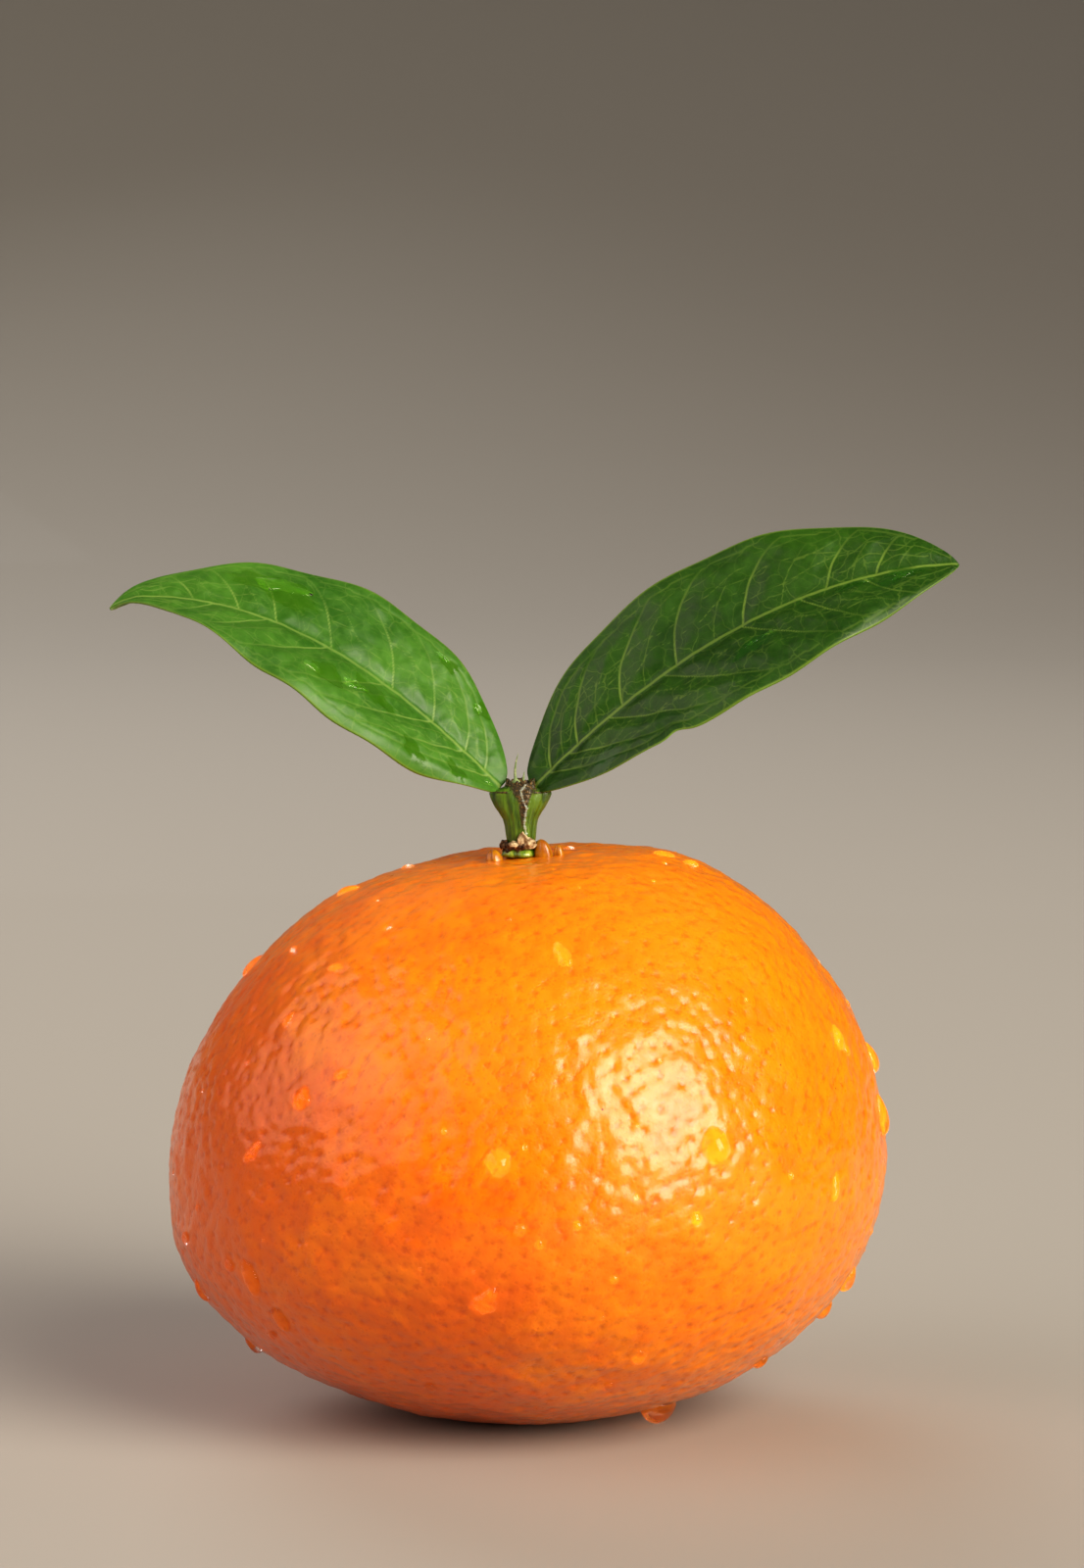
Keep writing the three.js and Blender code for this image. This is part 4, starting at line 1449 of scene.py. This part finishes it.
@dataclass
class Calyx:
    """The green button that the fruit hung from, and the dry sepals on it."""

    radius: float = 2.0
    lobes: int = 5
    lobe_depth: float = 0.1
    around: int = 120
    lean: float = math.radians(-5.4)
    collar_radius: float = 1.68
    collar_thickness: float = 0.26
    crumb_size: float = 0.34
    crumb_spacing: float = 0.42
    seed: int = 5

    def button(self) -> bpy.types.Object:
        """Makes the button, a lobed ring grown into the peel.

        Returns:
            The piece that stands for the calyx.
        """
        low, high = (np.array(corner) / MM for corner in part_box("calyx"))
        axis, foot, top = (low[0] + high[0]) / 2, low[2], high[2]
        profile = np.array([(0.05, 0.0), (0.75, 0.0), (0.98, 0.14), (1.04, 0.34), (1.0, 0.56), (0.93, 0.76),
                            (0.82, 0.92), (0.7, 1.0), (0.55, 1.0), (0.05, 1.0)])
        chord = np.linspace(0, 1, len(profile))
        share = np.linspace(0, 1, 44)
        reach, rise = np.interp(share, chord, profile[:, 0]), np.interp(share, chord, profile[:, 1])
        turn = np.linspace(0, 2 * math.pi, self.around, endpoint=False)[None, :]
        lobe = 1 + self.lobe_depth * np.cos(self.lobes * turn + 0.6) * smooth(0.5, 1.0, reach)[:, None]
        lobe = lobe + 0.03 * np.sin(11 * turn + 1.0)
        r = self.radius * reach[:, None] * lobe
        lean = math.tan(self.lean)
        z = foot + rise[:, None] * (top - foot) + 0.08 * np.sin(3 * turn + 2) * rise[:, None]
        x = axis + r * np.cos(turn)
        points = np.stack([x, r * np.sin(turn), z - lean * (x - axis) * 0.35], -1)
        faces = [tuple(f) for f in grid_faces(44, self.around, closed=True)]
        faces.append(tuple(range(self.around - 1, -1, -1)))
        faces.append(tuple(range(43 * self.around, 44 * self.around)))
        piece = make_object("calyx_button", points.reshape(-1, 3), faces)
        piece.data.materials.append(BUTTON.material)
        return finish_piece(piece, ["calyx"])

    def sepals(self) -> list[bpy.types.Object]:
        """Makes the ring of dry crumbs and the two pale knobs in front.

        Returns:
            The pieces, of which the first stands for the dry collar.
        """
        low, high = (np.array(corner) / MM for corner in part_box("dry_collar"))
        axis, foot = (low[0] + high[0]) / 2, low[2]
        turn = np.linspace(0, 2 * math.pi, 72, endpoint=False)[None, :]
        section = np.linspace(0, 2 * math.pi, 18, endpoint=False)[:, None]
        r = self.collar_radius + self.collar_thickness * np.cos(section) + 0.05 * np.sin(5 * turn)
        tall = 0.3 + 0.14 * np.sin(2 * turn + 0.4) + 0.08 * np.sin(7 * turn)
        points = np.stack(
            [axis + r * np.cos(turn), r * np.sin(turn), foot + 0.24 + tall * np.sin(section) + 0 * r], -1
        )
        block = grid_faces(19, 72, closed=True) % (18 * 72)
        ring = make_object("dry_sepal_ring", points.reshape(-1, 3), [tuple(f[::-1]) for f in block])
        made = GeometryTree("sepal_crumbs", [
            TreeInput("Crumb Size", "NodeSocketFloat", self.crumb_size * MM),
            TreeInput("Seed", "NodeSocketInt", self.seed),
        ])
        tree, entry = made.tree, made.entry
        spots = add(tree, Kind.SCATTER, {
            "Mesh": entry["Geometry"],
            "Distance Min": self.crumb_spacing * MM,
            "Density Max": 9 / MM**2,
            "Seed": entry["Seed"],
        }).node.outputs
        size = add(
            tree, Kind.RANDOM, {0: (0.4, 0.4, 0.5), 1: (1.0, 1.2, 1.6), "Seed": entry["Seed"]},
            data_type="FLOAT_VECTOR",
        )
        crumb = add(tree, Kind.BALL, entry["Crumb Size"], 2)
        crumbs = add(tree, Kind.COPIES, spots["Points"], crumb, spots["Rotation"], size)
        whole = add(tree, "GeometryNodeJoinGeometry")
        for part in (entry["Geometry"], add(tree, Kind.REALIZE, crumbs)):
            plug(whole.node, {"Geometry": part})
        place = add(tree, Kind.POSITION)
        stirred = add(tree, Kind.NOISE, place, per_mm(0.5), 3.0, out="Color")
        shake = add(tree, Kind.VECTOR_MULTIPLY_ADD, stirred, (0.5 * MM,) * 3, (-0.25 * MM,) * 3)
        moved = add(tree, Kind.SET_POSITION, whole, shake)
        made.finish(moved, DARK_AND_SHADED_DRY.material)
        made.apply(ring)
        finish_piece(ring, ["dry_collar"])
        knobs = [
            self.knob("dry_sepal_knob_tall", (-0.15, -1.72, 61.75), (0.62, 0.5, 0.85), 1.0, 2),
            self.knob("dry_sepal_knob_broad", (0.42, -1.66, 61.35), (0.92, 0.55, 0.62), 0.15, 6),
            self.knob("dry_sepal_knob_left", (-1.05, -1.7, 61.25), (0.6, 0.4, 0.4), 0.5, 9),
        ]
        return [ring, *knobs]

    def knob(self, name: str, middle: tuple[float, float, float], size: tuple[float, float, float],
             peak: float, seed: int) -> bpy.types.Object:
        """One pale dry lump.

        Args:
            name: the piece's name.
            middle: its middle, in millimetres.
            size: its half sizes.
            peak: how much its top is drawn to a point.
            seed: what its unevenness starts from.

        Returns:
            The piece.
        """
        direction, faces = Fruit.sphere(20)
        rng = np.random.default_rng(seed)
        waves = rng.normal(0, 1, (9, 3)) * 4
        rough = sum(np.sin(direction @ w + i) for i, w in enumerate(waves)) / 9
        narrow = 1 - peak * 0.62 * smooth(0.0, 1.0, direction[:, 2:])
        scale = np.concatenate([narrow, narrow, np.ones_like(narrow)], 1)
        points = np.array(middle) + direction * np.array(size) * scale * (1 + 0.3 * rough[:, None])
        piece = make_object(name, points, faces)
        piece.data.materials.append(DRY.material)
        return finish_piece(piece)


@dataclass
class Hair:
    """A stiff pale hair on the cut end of the twig, bent, with a flared foot."""

    node: str
    path: Sequence[tuple[float, float, float]]
    radius: float
    flare: float

    def build(self) -> bpy.types.Object:
        """Makes the hair along its path and dresses it.

        Returns:
            The piece that stands for the bristle.
        """
        mesh = bpy.data.meshes.new(self.node + "_hair")
        edges = [(i, i + 1) for i in range(len(self.path) - 1)]
        mesh.from_pydata((np.array(self.path) * MM).tolist(), edges, [])
        piece = bpy.data.objects.new(mesh.name, mesh)
        bpy.context.scene.collection.objects.link(piece)
        made = GeometryTree("hair_" + self.node, [
            TreeInput("Radius", "NodeSocketFloat", self.radius * MM),
            TreeInput("Flare", "NodeSocketFloat", self.flare),
        ])
        tree, entry = made.tree, made.entry
        line = add(tree, "GeometryNodeMeshToCurve", {"Mesh": entry["Geometry"]})
        spline = add(tree, "GeometryNodeCurveSplineType", line, spline_type="BEZIER")
        eased = add(tree, "GeometryNodeCurveSetHandles", spline, handle_type="AUTO")
        fine = add(tree, "GeometryNodeResampleCurve", {"Curve": eased, "Count": 40})
        share = add(tree, "GeometryNodeSplineParameter", out="Factor")
        taper = add(tree, Kind.POWER, add(tree, Kind.SUBTRACT, 1.03, share), 0.75)
        foot = add(tree, Kind.MULTIPLY, add(tree, Kind.STEP, share, 0.16, 0.0), entry["Flare"])
        thick = add(tree, Kind.MULTIPLY, add(tree, Kind.ADD, taper, foot), entry["Radius"])
        ring = add(tree, "GeometryNodeCurvePrimitiveCircle", {"Resolution": 12, "Radius": 1.0})
        tube = add(
            tree, "GeometryNodeCurveToMesh",
            {"Curve": fine, "Profile Curve": ring, "Scale": thick, "Fill Caps": True},
        )
        made.finish(tube, HAIR.material)
        made.apply(piece)
        return finish_piece(piece, [self.node])


# -------------------------------------------------------------------------- water


@dataclass(frozen=True)
class Drop:
    """One drop of water on a surface.

    place is the direction it is looked for in, as longitude and latitude in degrees on
    the fruit, or along and across in millimetres on a leaf. wide and tall are its half
    sizes, rise its height, turn its slant in radians, sag how far its belly has slid
    down, and ragged how uneven its outline is.
    """

    place: tuple[float, float]
    wide: float
    tall: float
    rise: float
    turn: float = 0.0
    sag: float = 0.25
    ragged: float = 0.1
    seed: int = 0

    def axes(self, normal: np.ndarray, up: np.ndarray) -> tuple[np.ndarray, np.ndarray]:
        """The drop's wide and tall directions.

        Args:
            normal: the surface's outward direction.
            up: the way its tall size points before it is turned.

        Returns:
            Two unit directions along the surface.
        """
        across = unit(np.cross(up, normal))
        upward = np.cross(normal, across)
        cos, sin = math.cos(self.turn), math.sin(self.turn)
        return across * cos + upward * sin, upward * cos - across * sin


@dataclass
class WaterDrops:
    """Drops laid on a finished piece: each follows the surface that is under it."""

    host: bpy.types.Object
    embed: float = 0.22
    rings: int = 14
    around: int = 44

    def __post_init__(self) -> None:
        """Makes the host's surface ready to be looked up."""
        mesh = self.host.data
        corners = [v.co.copy() for v in mesh.vertices]
        self.lookup = BVHTree.FromPolygons(corners, [tuple(p.vertices) for p in mesh.polygons])

    def land(self, point: np.ndarray, normal: np.ndarray) -> np.ndarray:
        """Drops a point onto the host along the normal.

        Args:
            point: a place near the surface, in millimetres.
            normal: the outward direction.

        Returns:
            The place on the surface, or the point itself where there is none.
        """
        start = Vector((point + normal * 4) * MM)
        hit = self.lookup.ray_cast(start, Vector(-normal), 8 * MM)[0]
        return np.array(hit) / MM if hit is not None else point

    def lay(self, drop: Drop, point: np.ndarray, normal: np.ndarray,
            up: np.ndarray) -> tuple[np.ndarray, list]:
        """Shapes one drop.

        Args:
            drop: what it is like.
            point: its middle, near the surface, in millimetres.
            normal: the surface's outward direction there.
            up: the way its tall size points.

        Returns:
            Its points, in millimetres, and its faces.
        """
        first, second = drop.axes(normal, up)
        ring = (np.arange(self.rings) + 1) / self.rings
        ring = np.sin(ring * math.pi / 2)
        turn = np.linspace(0, 2 * math.pi, self.around, endpoint=False)
        rng = np.random.default_rng(drop.seed + 11)
        edge = 1 + sum(
            drop.ragged / k**0.8 * math.sin(rng.uniform(0, 6.3)) * np.cos(k * turn + rng.uniform(0, 6.3))
            for k in (2, 3, 4, 5, 7)
        )
        a = np.concatenate([[0], np.outer(ring, np.cos(turn) * edge).ravel()]) * drop.wide
        b = np.concatenate([[0], np.outer(ring, np.sin(turn) * edge).ravel()]) * drop.tall
        share = np.concatenate([[0], np.repeat(ring, self.around)])
        plane = point + a[:, None] * first + b[:, None] * second
        ground = np.array([self.land(p, normal) for p in plane])
        level = (ground - plane) @ normal
        terms = np.stack([np.ones_like(a), a, b, a * a, a * b, b * b], 1)
        fitted = terms @ np.linalg.lstsq(terms, level, rcond=None)[0]
        belly = 1 - drop.sag * (b / drop.tall)
        rise = drop.rise * np.clip(1 - share**2, 0, 1) ** 0.52 * belly
        base = plane + fitted[:, None] * normal
        top = base + (rise - 0.02)[:, None] * normal
        bottom = base[1 + (self.rings - 1) * self.around :] - self.embed * normal
        count = len(top)
        faces = [(0, 1 + i, 1 + (i + 1) % self.around) for i in range(self.around)]
        faces += [tuple(f + 1) for f in grid_faces(self.rings, self.around, closed=True)[:, ::-1]]
        rim = 1 + (self.rings - 1) * self.around
        for i in range(self.around):
            j = (i + 1) % self.around
            faces.append((rim + j, rim + i, count + i, count + j))
        faces.append(tuple(count + i for i in range(self.around))[::-1])
        return np.concatenate([top, bottom]), faces

    def gather(self, name: str, shapes: Sequence[tuple[np.ndarray, list]], finish: Finish) -> None:
        """Joins shaped drops to one piece and dresses it.

        Args:
            name: the piece's name.
            shapes: the points and faces of each drop.
            finish: its material.
        """
        points, faces, start = [], [], 0
        for corners, sides in shapes:
            points.append(corners)
            faces += [tuple(int(c) + start for c in side) for side in sides]
            start += len(corners)
        piece = make_object(name, np.concatenate(points), faces)
        piece.data.materials.append(finish.material)
        finish_piece(piece)

    def on_fruit(self, fruit: Fruit, name: str, drops: Sequence[Drop], finish: Finish) -> None:
        """Lays drops on the fruit.

        Args:
            fruit: the fruit.
            name: the piece's name.
            drops: the drops, each with its longitude and latitude as its place.
            finish: their material.
        """
        shapes = []
        for drop in drops:
            point, normal = fruit.station(drop.place)
            shapes.append(self.lay(drop, point, normal, np.array([0.0, 0.0, 1.0])))
        self.gather(name, shapes, finish)

    def on_leaf(self, leaf: Leaf, name: str, drops: Sequence[Drop]) -> None:
        """Lays drops of clear water on a leaf.

        Args:
            leaf: the leaf.
            name: the piece's name.
            drops: the drops, each placed along the midrib and across it.
        """
        shapes = []
        for drop in drops:
            u = np.array([drop.place[0] / leaf.length])
            s = drop.place[1] / leaf.width(u)
            point, normal = (a[0] for a in leaf.bend(u, s))
            ahead = leaf.bend(u + 0.01, s)[0][0] - point
            shapes.append(self.lay(drop, point, normal, unit(np.cross(normal, ahead))))
        self.gather(name, shapes, WATER)

    def scatter(self) -> bpy.types.Object:
        """Scatters small beads over the peel, the larger ones few.

        Returns:
            The piece with all the beads.
        """
        piece = self.host.copy()
        piece.data = self.host.data.copy()
        piece.name = piece.data.name = "water_beads_small"
        bpy.context.scene.collection.objects.link(piece)
        made = GeometryTree("water_beads", [
            TreeInput("Bead Spacing", "NodeSocketFloat", 5.5 * MM),
            TreeInput("Bead Radius", "NodeSocketFloat", 0.52 * MM),
            TreeInput("Seed", "NodeSocketInt", 21),
        ])
        tree, entry = made.tree, made.entry
        place = add(tree, Kind.POSITION)
        height = add(tree, Kind.SPLIT, place, out="Z")
        dry_below = add(tree, Kind.STEP, height, 3 * MM, 7 * MM)
        spots = add(tree, Kind.SCATTER, {
            "Mesh": entry["Geometry"],
            "Distance Min": entry["Bead Spacing"],
            "Density Max": 0.03 / MM**2,
            "Density Factor": add(tree, Kind.MULTIPLY, dry_below, 0.6),
            "Seed": entry["Seed"],
        }).node.outputs
        draw = add(tree, Kind.RANDOM, {"Seed": entry["Seed"]}, out=1, data_type="FLOAT")
        size = add(tree, Kind.MULTIPLY_ADD, add(tree, Kind.POWER, draw, 2.2), 1.0, 0.35)
        tall, thick = (add(tree, Kind.MULTIPLY, size, share) for share in (1.15, 0.62))
        shape = add(tree, "ShaderNodeCombineXYZ", size, tall, thick)
        bead = add(tree, Kind.BALL, entry["Bead Radius"], 3)
        beads = add(tree, Kind.COPIES, spots["Points"], bead, spots["Rotation"], shape)
        made.finish(beads, WATER.material)
        made.apply(piece)
        piece.data.name = piece.name
        return finish_piece(piece)


# ------------------------------------------------------------------------- studio


@dataclass
class Studio:
    """A pale floor, soft lamps and the camera."""

    target: tuple[float, float, float] = (1.92, 0.0, 67.53)
    distance: float = 600.0
    elevation: float = math.radians(6)
    lens: float = 129.3

    def build(self) -> None:
        """Makes the floor, the world, the lamps and the camera."""
        self.floor()
        self.world()
        self.lamp("key", Vector((0.66, -0.64, 0.42)), 1800, (1300, 1700), 15.2, 80, "#FFF4E2")
        self.lamp("fill", Vector((-0.93, -0.3, 0.6)), 1500, (2600, 1300), 6.2, 106, "#FFEAE2")
        back = self.lamp("back", Vector((-0.3, 0.85, 0.42)), 1700, (1000, 1000), 3.4, 80, "#FFFFFF")
        back.visible_glossy = False
        camera = bpy.data.cameras.new("camera")
        camera.lens, camera.sensor_width = self.lens, 36.0
        camera.clip_start, camera.clip_end = 0.02, 50
        holder = bpy.data.objects.new("camera", camera)
        away = Vector((0, -math.cos(self.elevation), math.sin(self.elevation)))
        holder.location = Vector(self.target) * MM + away * self.distance * MM
        holder.rotation_euler = (-away).to_track_quat("-Z", "Y").to_euler()
        bpy.context.scene.collection.objects.link(holder)
        bpy.context.scene.camera = holder

    def lamp(self, name: str, way: Vector, distance: float, size: tuple[float, float], watts: float,
             spread: float, tint: str) -> bpy.types.Object:
        """Adds a soft rectangular lamp that looks at the fruit.

        Args:
            name: its name.
            way: the direction from the fruit to the lamp.
            distance: how far away it is, in millimetres.
            size: its width and height, in millimetres.
            watts: its power.
            spread: the full angle its grid lets light out in, in degrees.
            tint: its colour.

        Returns:
            The lamp.
        """
        light = bpy.data.lights.new(name, "AREA")
        light.shape = "RECTANGLE"
        light.size, light.size_y = size[0] * MM, size[1] * MM
        light.energy = watts
        light.spread = math.radians(spread)
        light.color = linear(tint)[:3]
        holder = bpy.data.objects.new(name, light)
        holder.visible_camera = False
        away = way.normalized()
        holder.location = Vector((0, 0, 40 * MM)) + away * distance * MM
        holder.rotation_euler = away.to_track_quat("Z", "Y").to_euler()
        bpy.context.scene.collection.objects.link(holder)
        return holder

    def floor(self) -> None:
        """Adds the floor, painted board that rises gently into the backdrop all round."""
        turn = np.linspace(0, 2 * math.pi, 96, endpoint=False)[None, :]
        reach = np.concatenate([[1], np.linspace(1000, 4800, 40)])[:, None]
        height = 0.28e-3 * (np.maximum(reach, 1000) - 1000) ** 2 + 0 * turn
        points = np.stack([reach * np.cos(turn), reach * np.sin(turn), height], -1)
        faces = [tuple(f) for f in grid_faces(41, 96, closed=True)[:, ::-1]]
        plate = make_object("studio_floor", points.reshape(-1, 3), [*faces, tuple(range(96))])
        made = bpy.data.materials.new("painted_board_matt")
        made.use_nodes = True
        shader = made.node_tree.nodes["Principled BSDF"]
        plug(shader, {"Base Color": linear("#ACA8A1"), "Roughness": 0.75})
        plate.data.materials.append(made)

    def world(self) -> None:
        """Makes the even pale surroundings."""
        made = bpy.data.worlds.new("studio")
        made.use_nodes = True
        sky = made.node_tree.nodes["Background"]
        sky.inputs["Color"].default_value = linear("#E9E6E1")
        sky.inputs["Strength"].default_value = 0.18
        bpy.context.scene.world = made
        view = bpy.context.scene.view_settings
        view.view_transform, view.look = "Standard", "Medium High Contrast"


# --------------------------------------------------------------------------- main

LEFT_LEAF = Leaf(
    node="leaf_left", side=-1, length=48.2, half_width=10.2, base_fullness=0.77, tip_fullness=1.02,
    rise=math.radians(45), droop=math.radians(-10.4), tip_droop=math.radians(-42.7),
    roll=math.radians(43.5), twist=math.radians(-18.6), fold=math.radians(9.7), finish=LEFT_BLADE,
    far_veins=(2.6, 5.5, 10.2, 15.7, 23.4, 29.9, 34.1, 39.0),
    near_veins=(2.0, 5.8, 10.4, 16.8, 24.0, 31.0, 37.0), near_tip=0.4, near_curl=1.0, curl_span=(0.03, 0.8),
    tip_hook=math.radians(-22), wave_phase=0.6,
    wet=(
        Patch(31.0, 4.6, 4.4, 1.7, 0.1, seed=2), Patch(17.5, -3.0, 2.6, 1.3, 0.2, seed=5),
        Patch(22.5, -5.0, 2.2, 1.4, 0.0, seed=3), Patch(12.5, 7.2, 1.1, 0.7, seed=8),
        Patch(7.0, 5.6, 1.0, 0.8, seed=4), Patch(10.0, -6.0, 1.8, 0.9, 0.3, seed=6),
        Patch(5.0, -3.6, 1.4, 0.8, 0.2, seed=7),
    ),
)
RIGHT_LEAF = Leaf(
    node="leaf_right", side=1, length=52.4, half_width=10.1, base_fullness=0.68, tip_fullness=0.73,
    rise=math.radians(45.4), droop=math.radians(-19.7), tip_droop=math.radians(-23.2),
    roll=math.radians(46.2), twist=math.radians(-2.3), fold=math.radians(10), finish=RIGHT_BLADE,
    far_veins=(2.8, 6.7, 13.0, 20.2, 28.4, 38.0, 43.5), near_veins=(2.4, 5.4, 11.1, 18.4, 28.2, 35.0, 42.0),
    near_curl=0.7, curl_span=(0.3, 1.0), notch=0.07, notch_at=0.31, wave_phase=2.1,
    wet=(Patch(46.0, -1.0, 2.6, 1.0, 0.2, seed=3), Patch(40.5, -0.9, 1.6, 0.6, 0.1, seed=9),
         Patch(28.5, -4.0, 2.4, 0.9, 0.2, seed=4), Patch(8.0, -5.0, 2.0, 1.0, 0.2, seed=5)),
)

FRUIT_DROPS = (
    Drop((-62, 10), 1.45, 2.05, 1.15, 0.1, 0.3, 0.12, 1), Drop((-97, 12), 1.35, 1.4, 1.0, 0.0, 0.3, 0.2, 2),
    Drop((-101, -14), 1.2, 1.7, 0.95, -0.3, 0.35, 0.25, 3),
    Drop((-82, 46), 0.85, 1.7, 0.65, 0.2, 0.4, 0.25, 4), Drop((-131, 23), 1.1, 1.3, 0.6, 0.5, 0.2, 0.3, 5),
    Drop((-124, 27), 1.0, 0.5, 0.4, 0.2, 0.2, 0.3, 6), Drop((-140, 14), 0.7, 1.5, 0.4, -0.6, 0.3, 0.35, 7),
    Drop((-136, 46), 0.9, 0.6, 0.45, 0.1, 0.2, 0.2, 8), Drop((-141, 36), 0.6, 0.9, 0.45, 0.0, 0.3, 0.2, 9),
    Drop((-76, -34), 0.75, 1.1, 0.6, -0.3, 0.3, 0.15, 10),
    Drop((-67, -1), 0.7, 0.8, 0.5, 0.0, 0.2, 0.15, 11), Drop((-22, 21), 0.9, 1.6, 0.6, -0.4, 0.3, 0.2, 12),
    Drop((-36, -2), 0.7, 1.5, 0.5, -0.4, 0.3, 0.2, 13), Drop((-2, 14), 1.2, 1.9, 0.7, 0.1, 0.35, 0.15, 14),
    Drop((-6, 5), 1.2, 2.2, 0.8, 0.1, 0.4, 0.15, 15), Drop((-16, -30), 1.1, 1.5, 0.8, 0.0, 0.35, 0.15, 16),
    Drop((-14, -39), 1.0, 1.2, 0.7, 0.2, 0.3, 0.15, 17), Drop((-32, -50), 1.0, 0.9, 0.6, 0.0, 0.2, 0.2, 18),
    Drop((-166, -17), 0.9, 1.3, 0.5, 0.1, 0.3, 0.2, 19),
    Drop((-166, -33), 0.9, 1.1, 0.6, 0.0, 0.3, 0.2, 20), Drop((-178, 62), 1.1, 1.3, 0.5, 0.0, 0.2, 0.2, 21),
    Drop((-178, 43), 0.9, 1.4, 0.55, 0.0, 0.2, 0.2, 22), Drop((-5, 66), 1.2, 1.2, 0.45, 0.0, 0.2, 0.2, 23),
    Drop((-8, 61), 0.8, 0.8, 0.45, 0.0, 0.2, 0.2, 24),
    Drop((-142, -9), 1.2, 2.0, 0.55, 0.15, 0.35, 0.15, 25),
    Drop((-139, -19), 1.0, 1.6, 0.55, 0.1, 0.35, 0.15, 26),
    Drop((-86, 1), 0.5, 0.6, 0.35, 0.0, 0.2, 0.15, 27),
    Drop((-92, -2), 0.5, 0.55, 0.35, 0.0, 0.2, 0.15, 28),
    Drop((-81, -12), 0.5, 0.6, 0.35, 0.0, 0.2, 0.15, 29), Drop((60, 20), 1.2, 1.8, 0.8, 0.2, 0.3, 0.15, 30),
    Drop((110, 5), 1.0, 1.5, 0.7, 0.0, 0.3, 0.15, 31), Drop((85, -25), 1.1, 1.5, 0.7, -0.2, 0.3, 0.15, 32),
    Drop((140, 30), 0.9, 1.2, 0.6, 0.3, 0.3, 0.15, 33), Drop((30, 45), 0.8, 1.1, 0.5, 0.0, 0.3, 0.15, 34),
    Drop((-50, -68), 2.4, 1.7, 1.6, 0.1, 0.3, 0.1, 44),
)
STEM_DROPS = (
    Drop((-25, 86), 1.1, 0.95, 2.0, 0.0, 0.0, 0.12, 41),
    Drop((-15, 83.6), 0.55, 0.6, 1.2, 0.0, 0.0, 0.25, 42),
    Drop((-148, 85.2), 1.0, 0.85, 1.3, 0.0, 0.0, 0.2, 43),
)
LEFT_DROPS = (
    Drop((31.0, 5.2), 3.0, 1.0, 0.22, 0.1, 0.0, 0.4, 51),
    Drop((19.4, -3.6), 1.5, 0.7, 0.3, 0.2, 0.0, 0.35, 52),
    Drop((13.5, 7.6), 0.9, 0.4, 0.22, 0.0, 0.0, 0.2, 53),
    Drop((7.5, 5.4), 0.6, 0.45, 0.2, 0.0, 0.0, 0.2, 54),
    Drop((24.5, -5.6), 1.0, 0.5, 0.2, 0.2, 0.0, 0.3, 55),
    Drop((1.6, -0.9), 0.55, 0.4, 0.25, 0.0, 0.0, 0.2, 56),
)
RIGHT_DROPS = (
    Drop((46.3, -0.9), 1.5, 0.55, 0.22, 0.3, 0.0, 0.45, 61),
    Drop((42.5, -0.5), 0.7, 0.3, 0.15, 0.1, 0.0, 0.3, 62),
    Drop((30.5, -3.2), 0.8, 0.28, 0.15, 0.1, 0.0, 0.3, 63),
    Drop((28.3, -3.6), 0.7, 0.25, 0.15, 0.2, 0.0, 0.3, 64),
)


def main() -> None:
    """Builds the orange piece by piece and reports each one."""
    logging.basicConfig(level=logging.INFO, format="%(name)s: %(message)s")
    Studio().build()
    fruit = Fruit()
    peel = fruit.build((*FRUIT_DROPS, *STEM_DROPS))
    blades = {leaf.node: leaf.build() for leaf in (LEFT_LEAF, RIGHT_LEAF)}
    Twig().build()
    calyx = Calyx()
    calyx.button()
    calyx.sepals()
    long_path = ((-0.86, 0, 67.7), (-0.95, 0, 68.8), (-0.86, 0, 69.8), (-0.6, 0, 70.85))
    short_path = ((-0.06, 0, 67.7), (-0.04, 0, 68.3), (0.04, 0, 68.9))
    Hair("bristle_long", long_path, radius=0.17, flare=1.8).build()
    Hair("bristle_short", short_path, radius=0.16, flare=0.5).build()
    on_peel = WaterDrops(peel)
    on_peel.on_fruit(fruit, "water_drops_large", FRUIT_DROPS, WATER)
    on_peel.on_fruit(fruit, "water_drops_by_stem", STEM_DROPS, AMBER_PAINTED_WATER)
    on_peel.scatter()
    WaterDrops(blades["leaf_left"], embed=0.12).on_leaf(LEFT_LEAF, "water_drops_leaf_left", LEFT_DROPS)
    WaterDrops(blades["leaf_right"], embed=0.12).on_leaf(RIGHT_LEAF, "water_drops_leaf_right", RIGHT_DROPS)


if __name__ == "__main__":
    main()
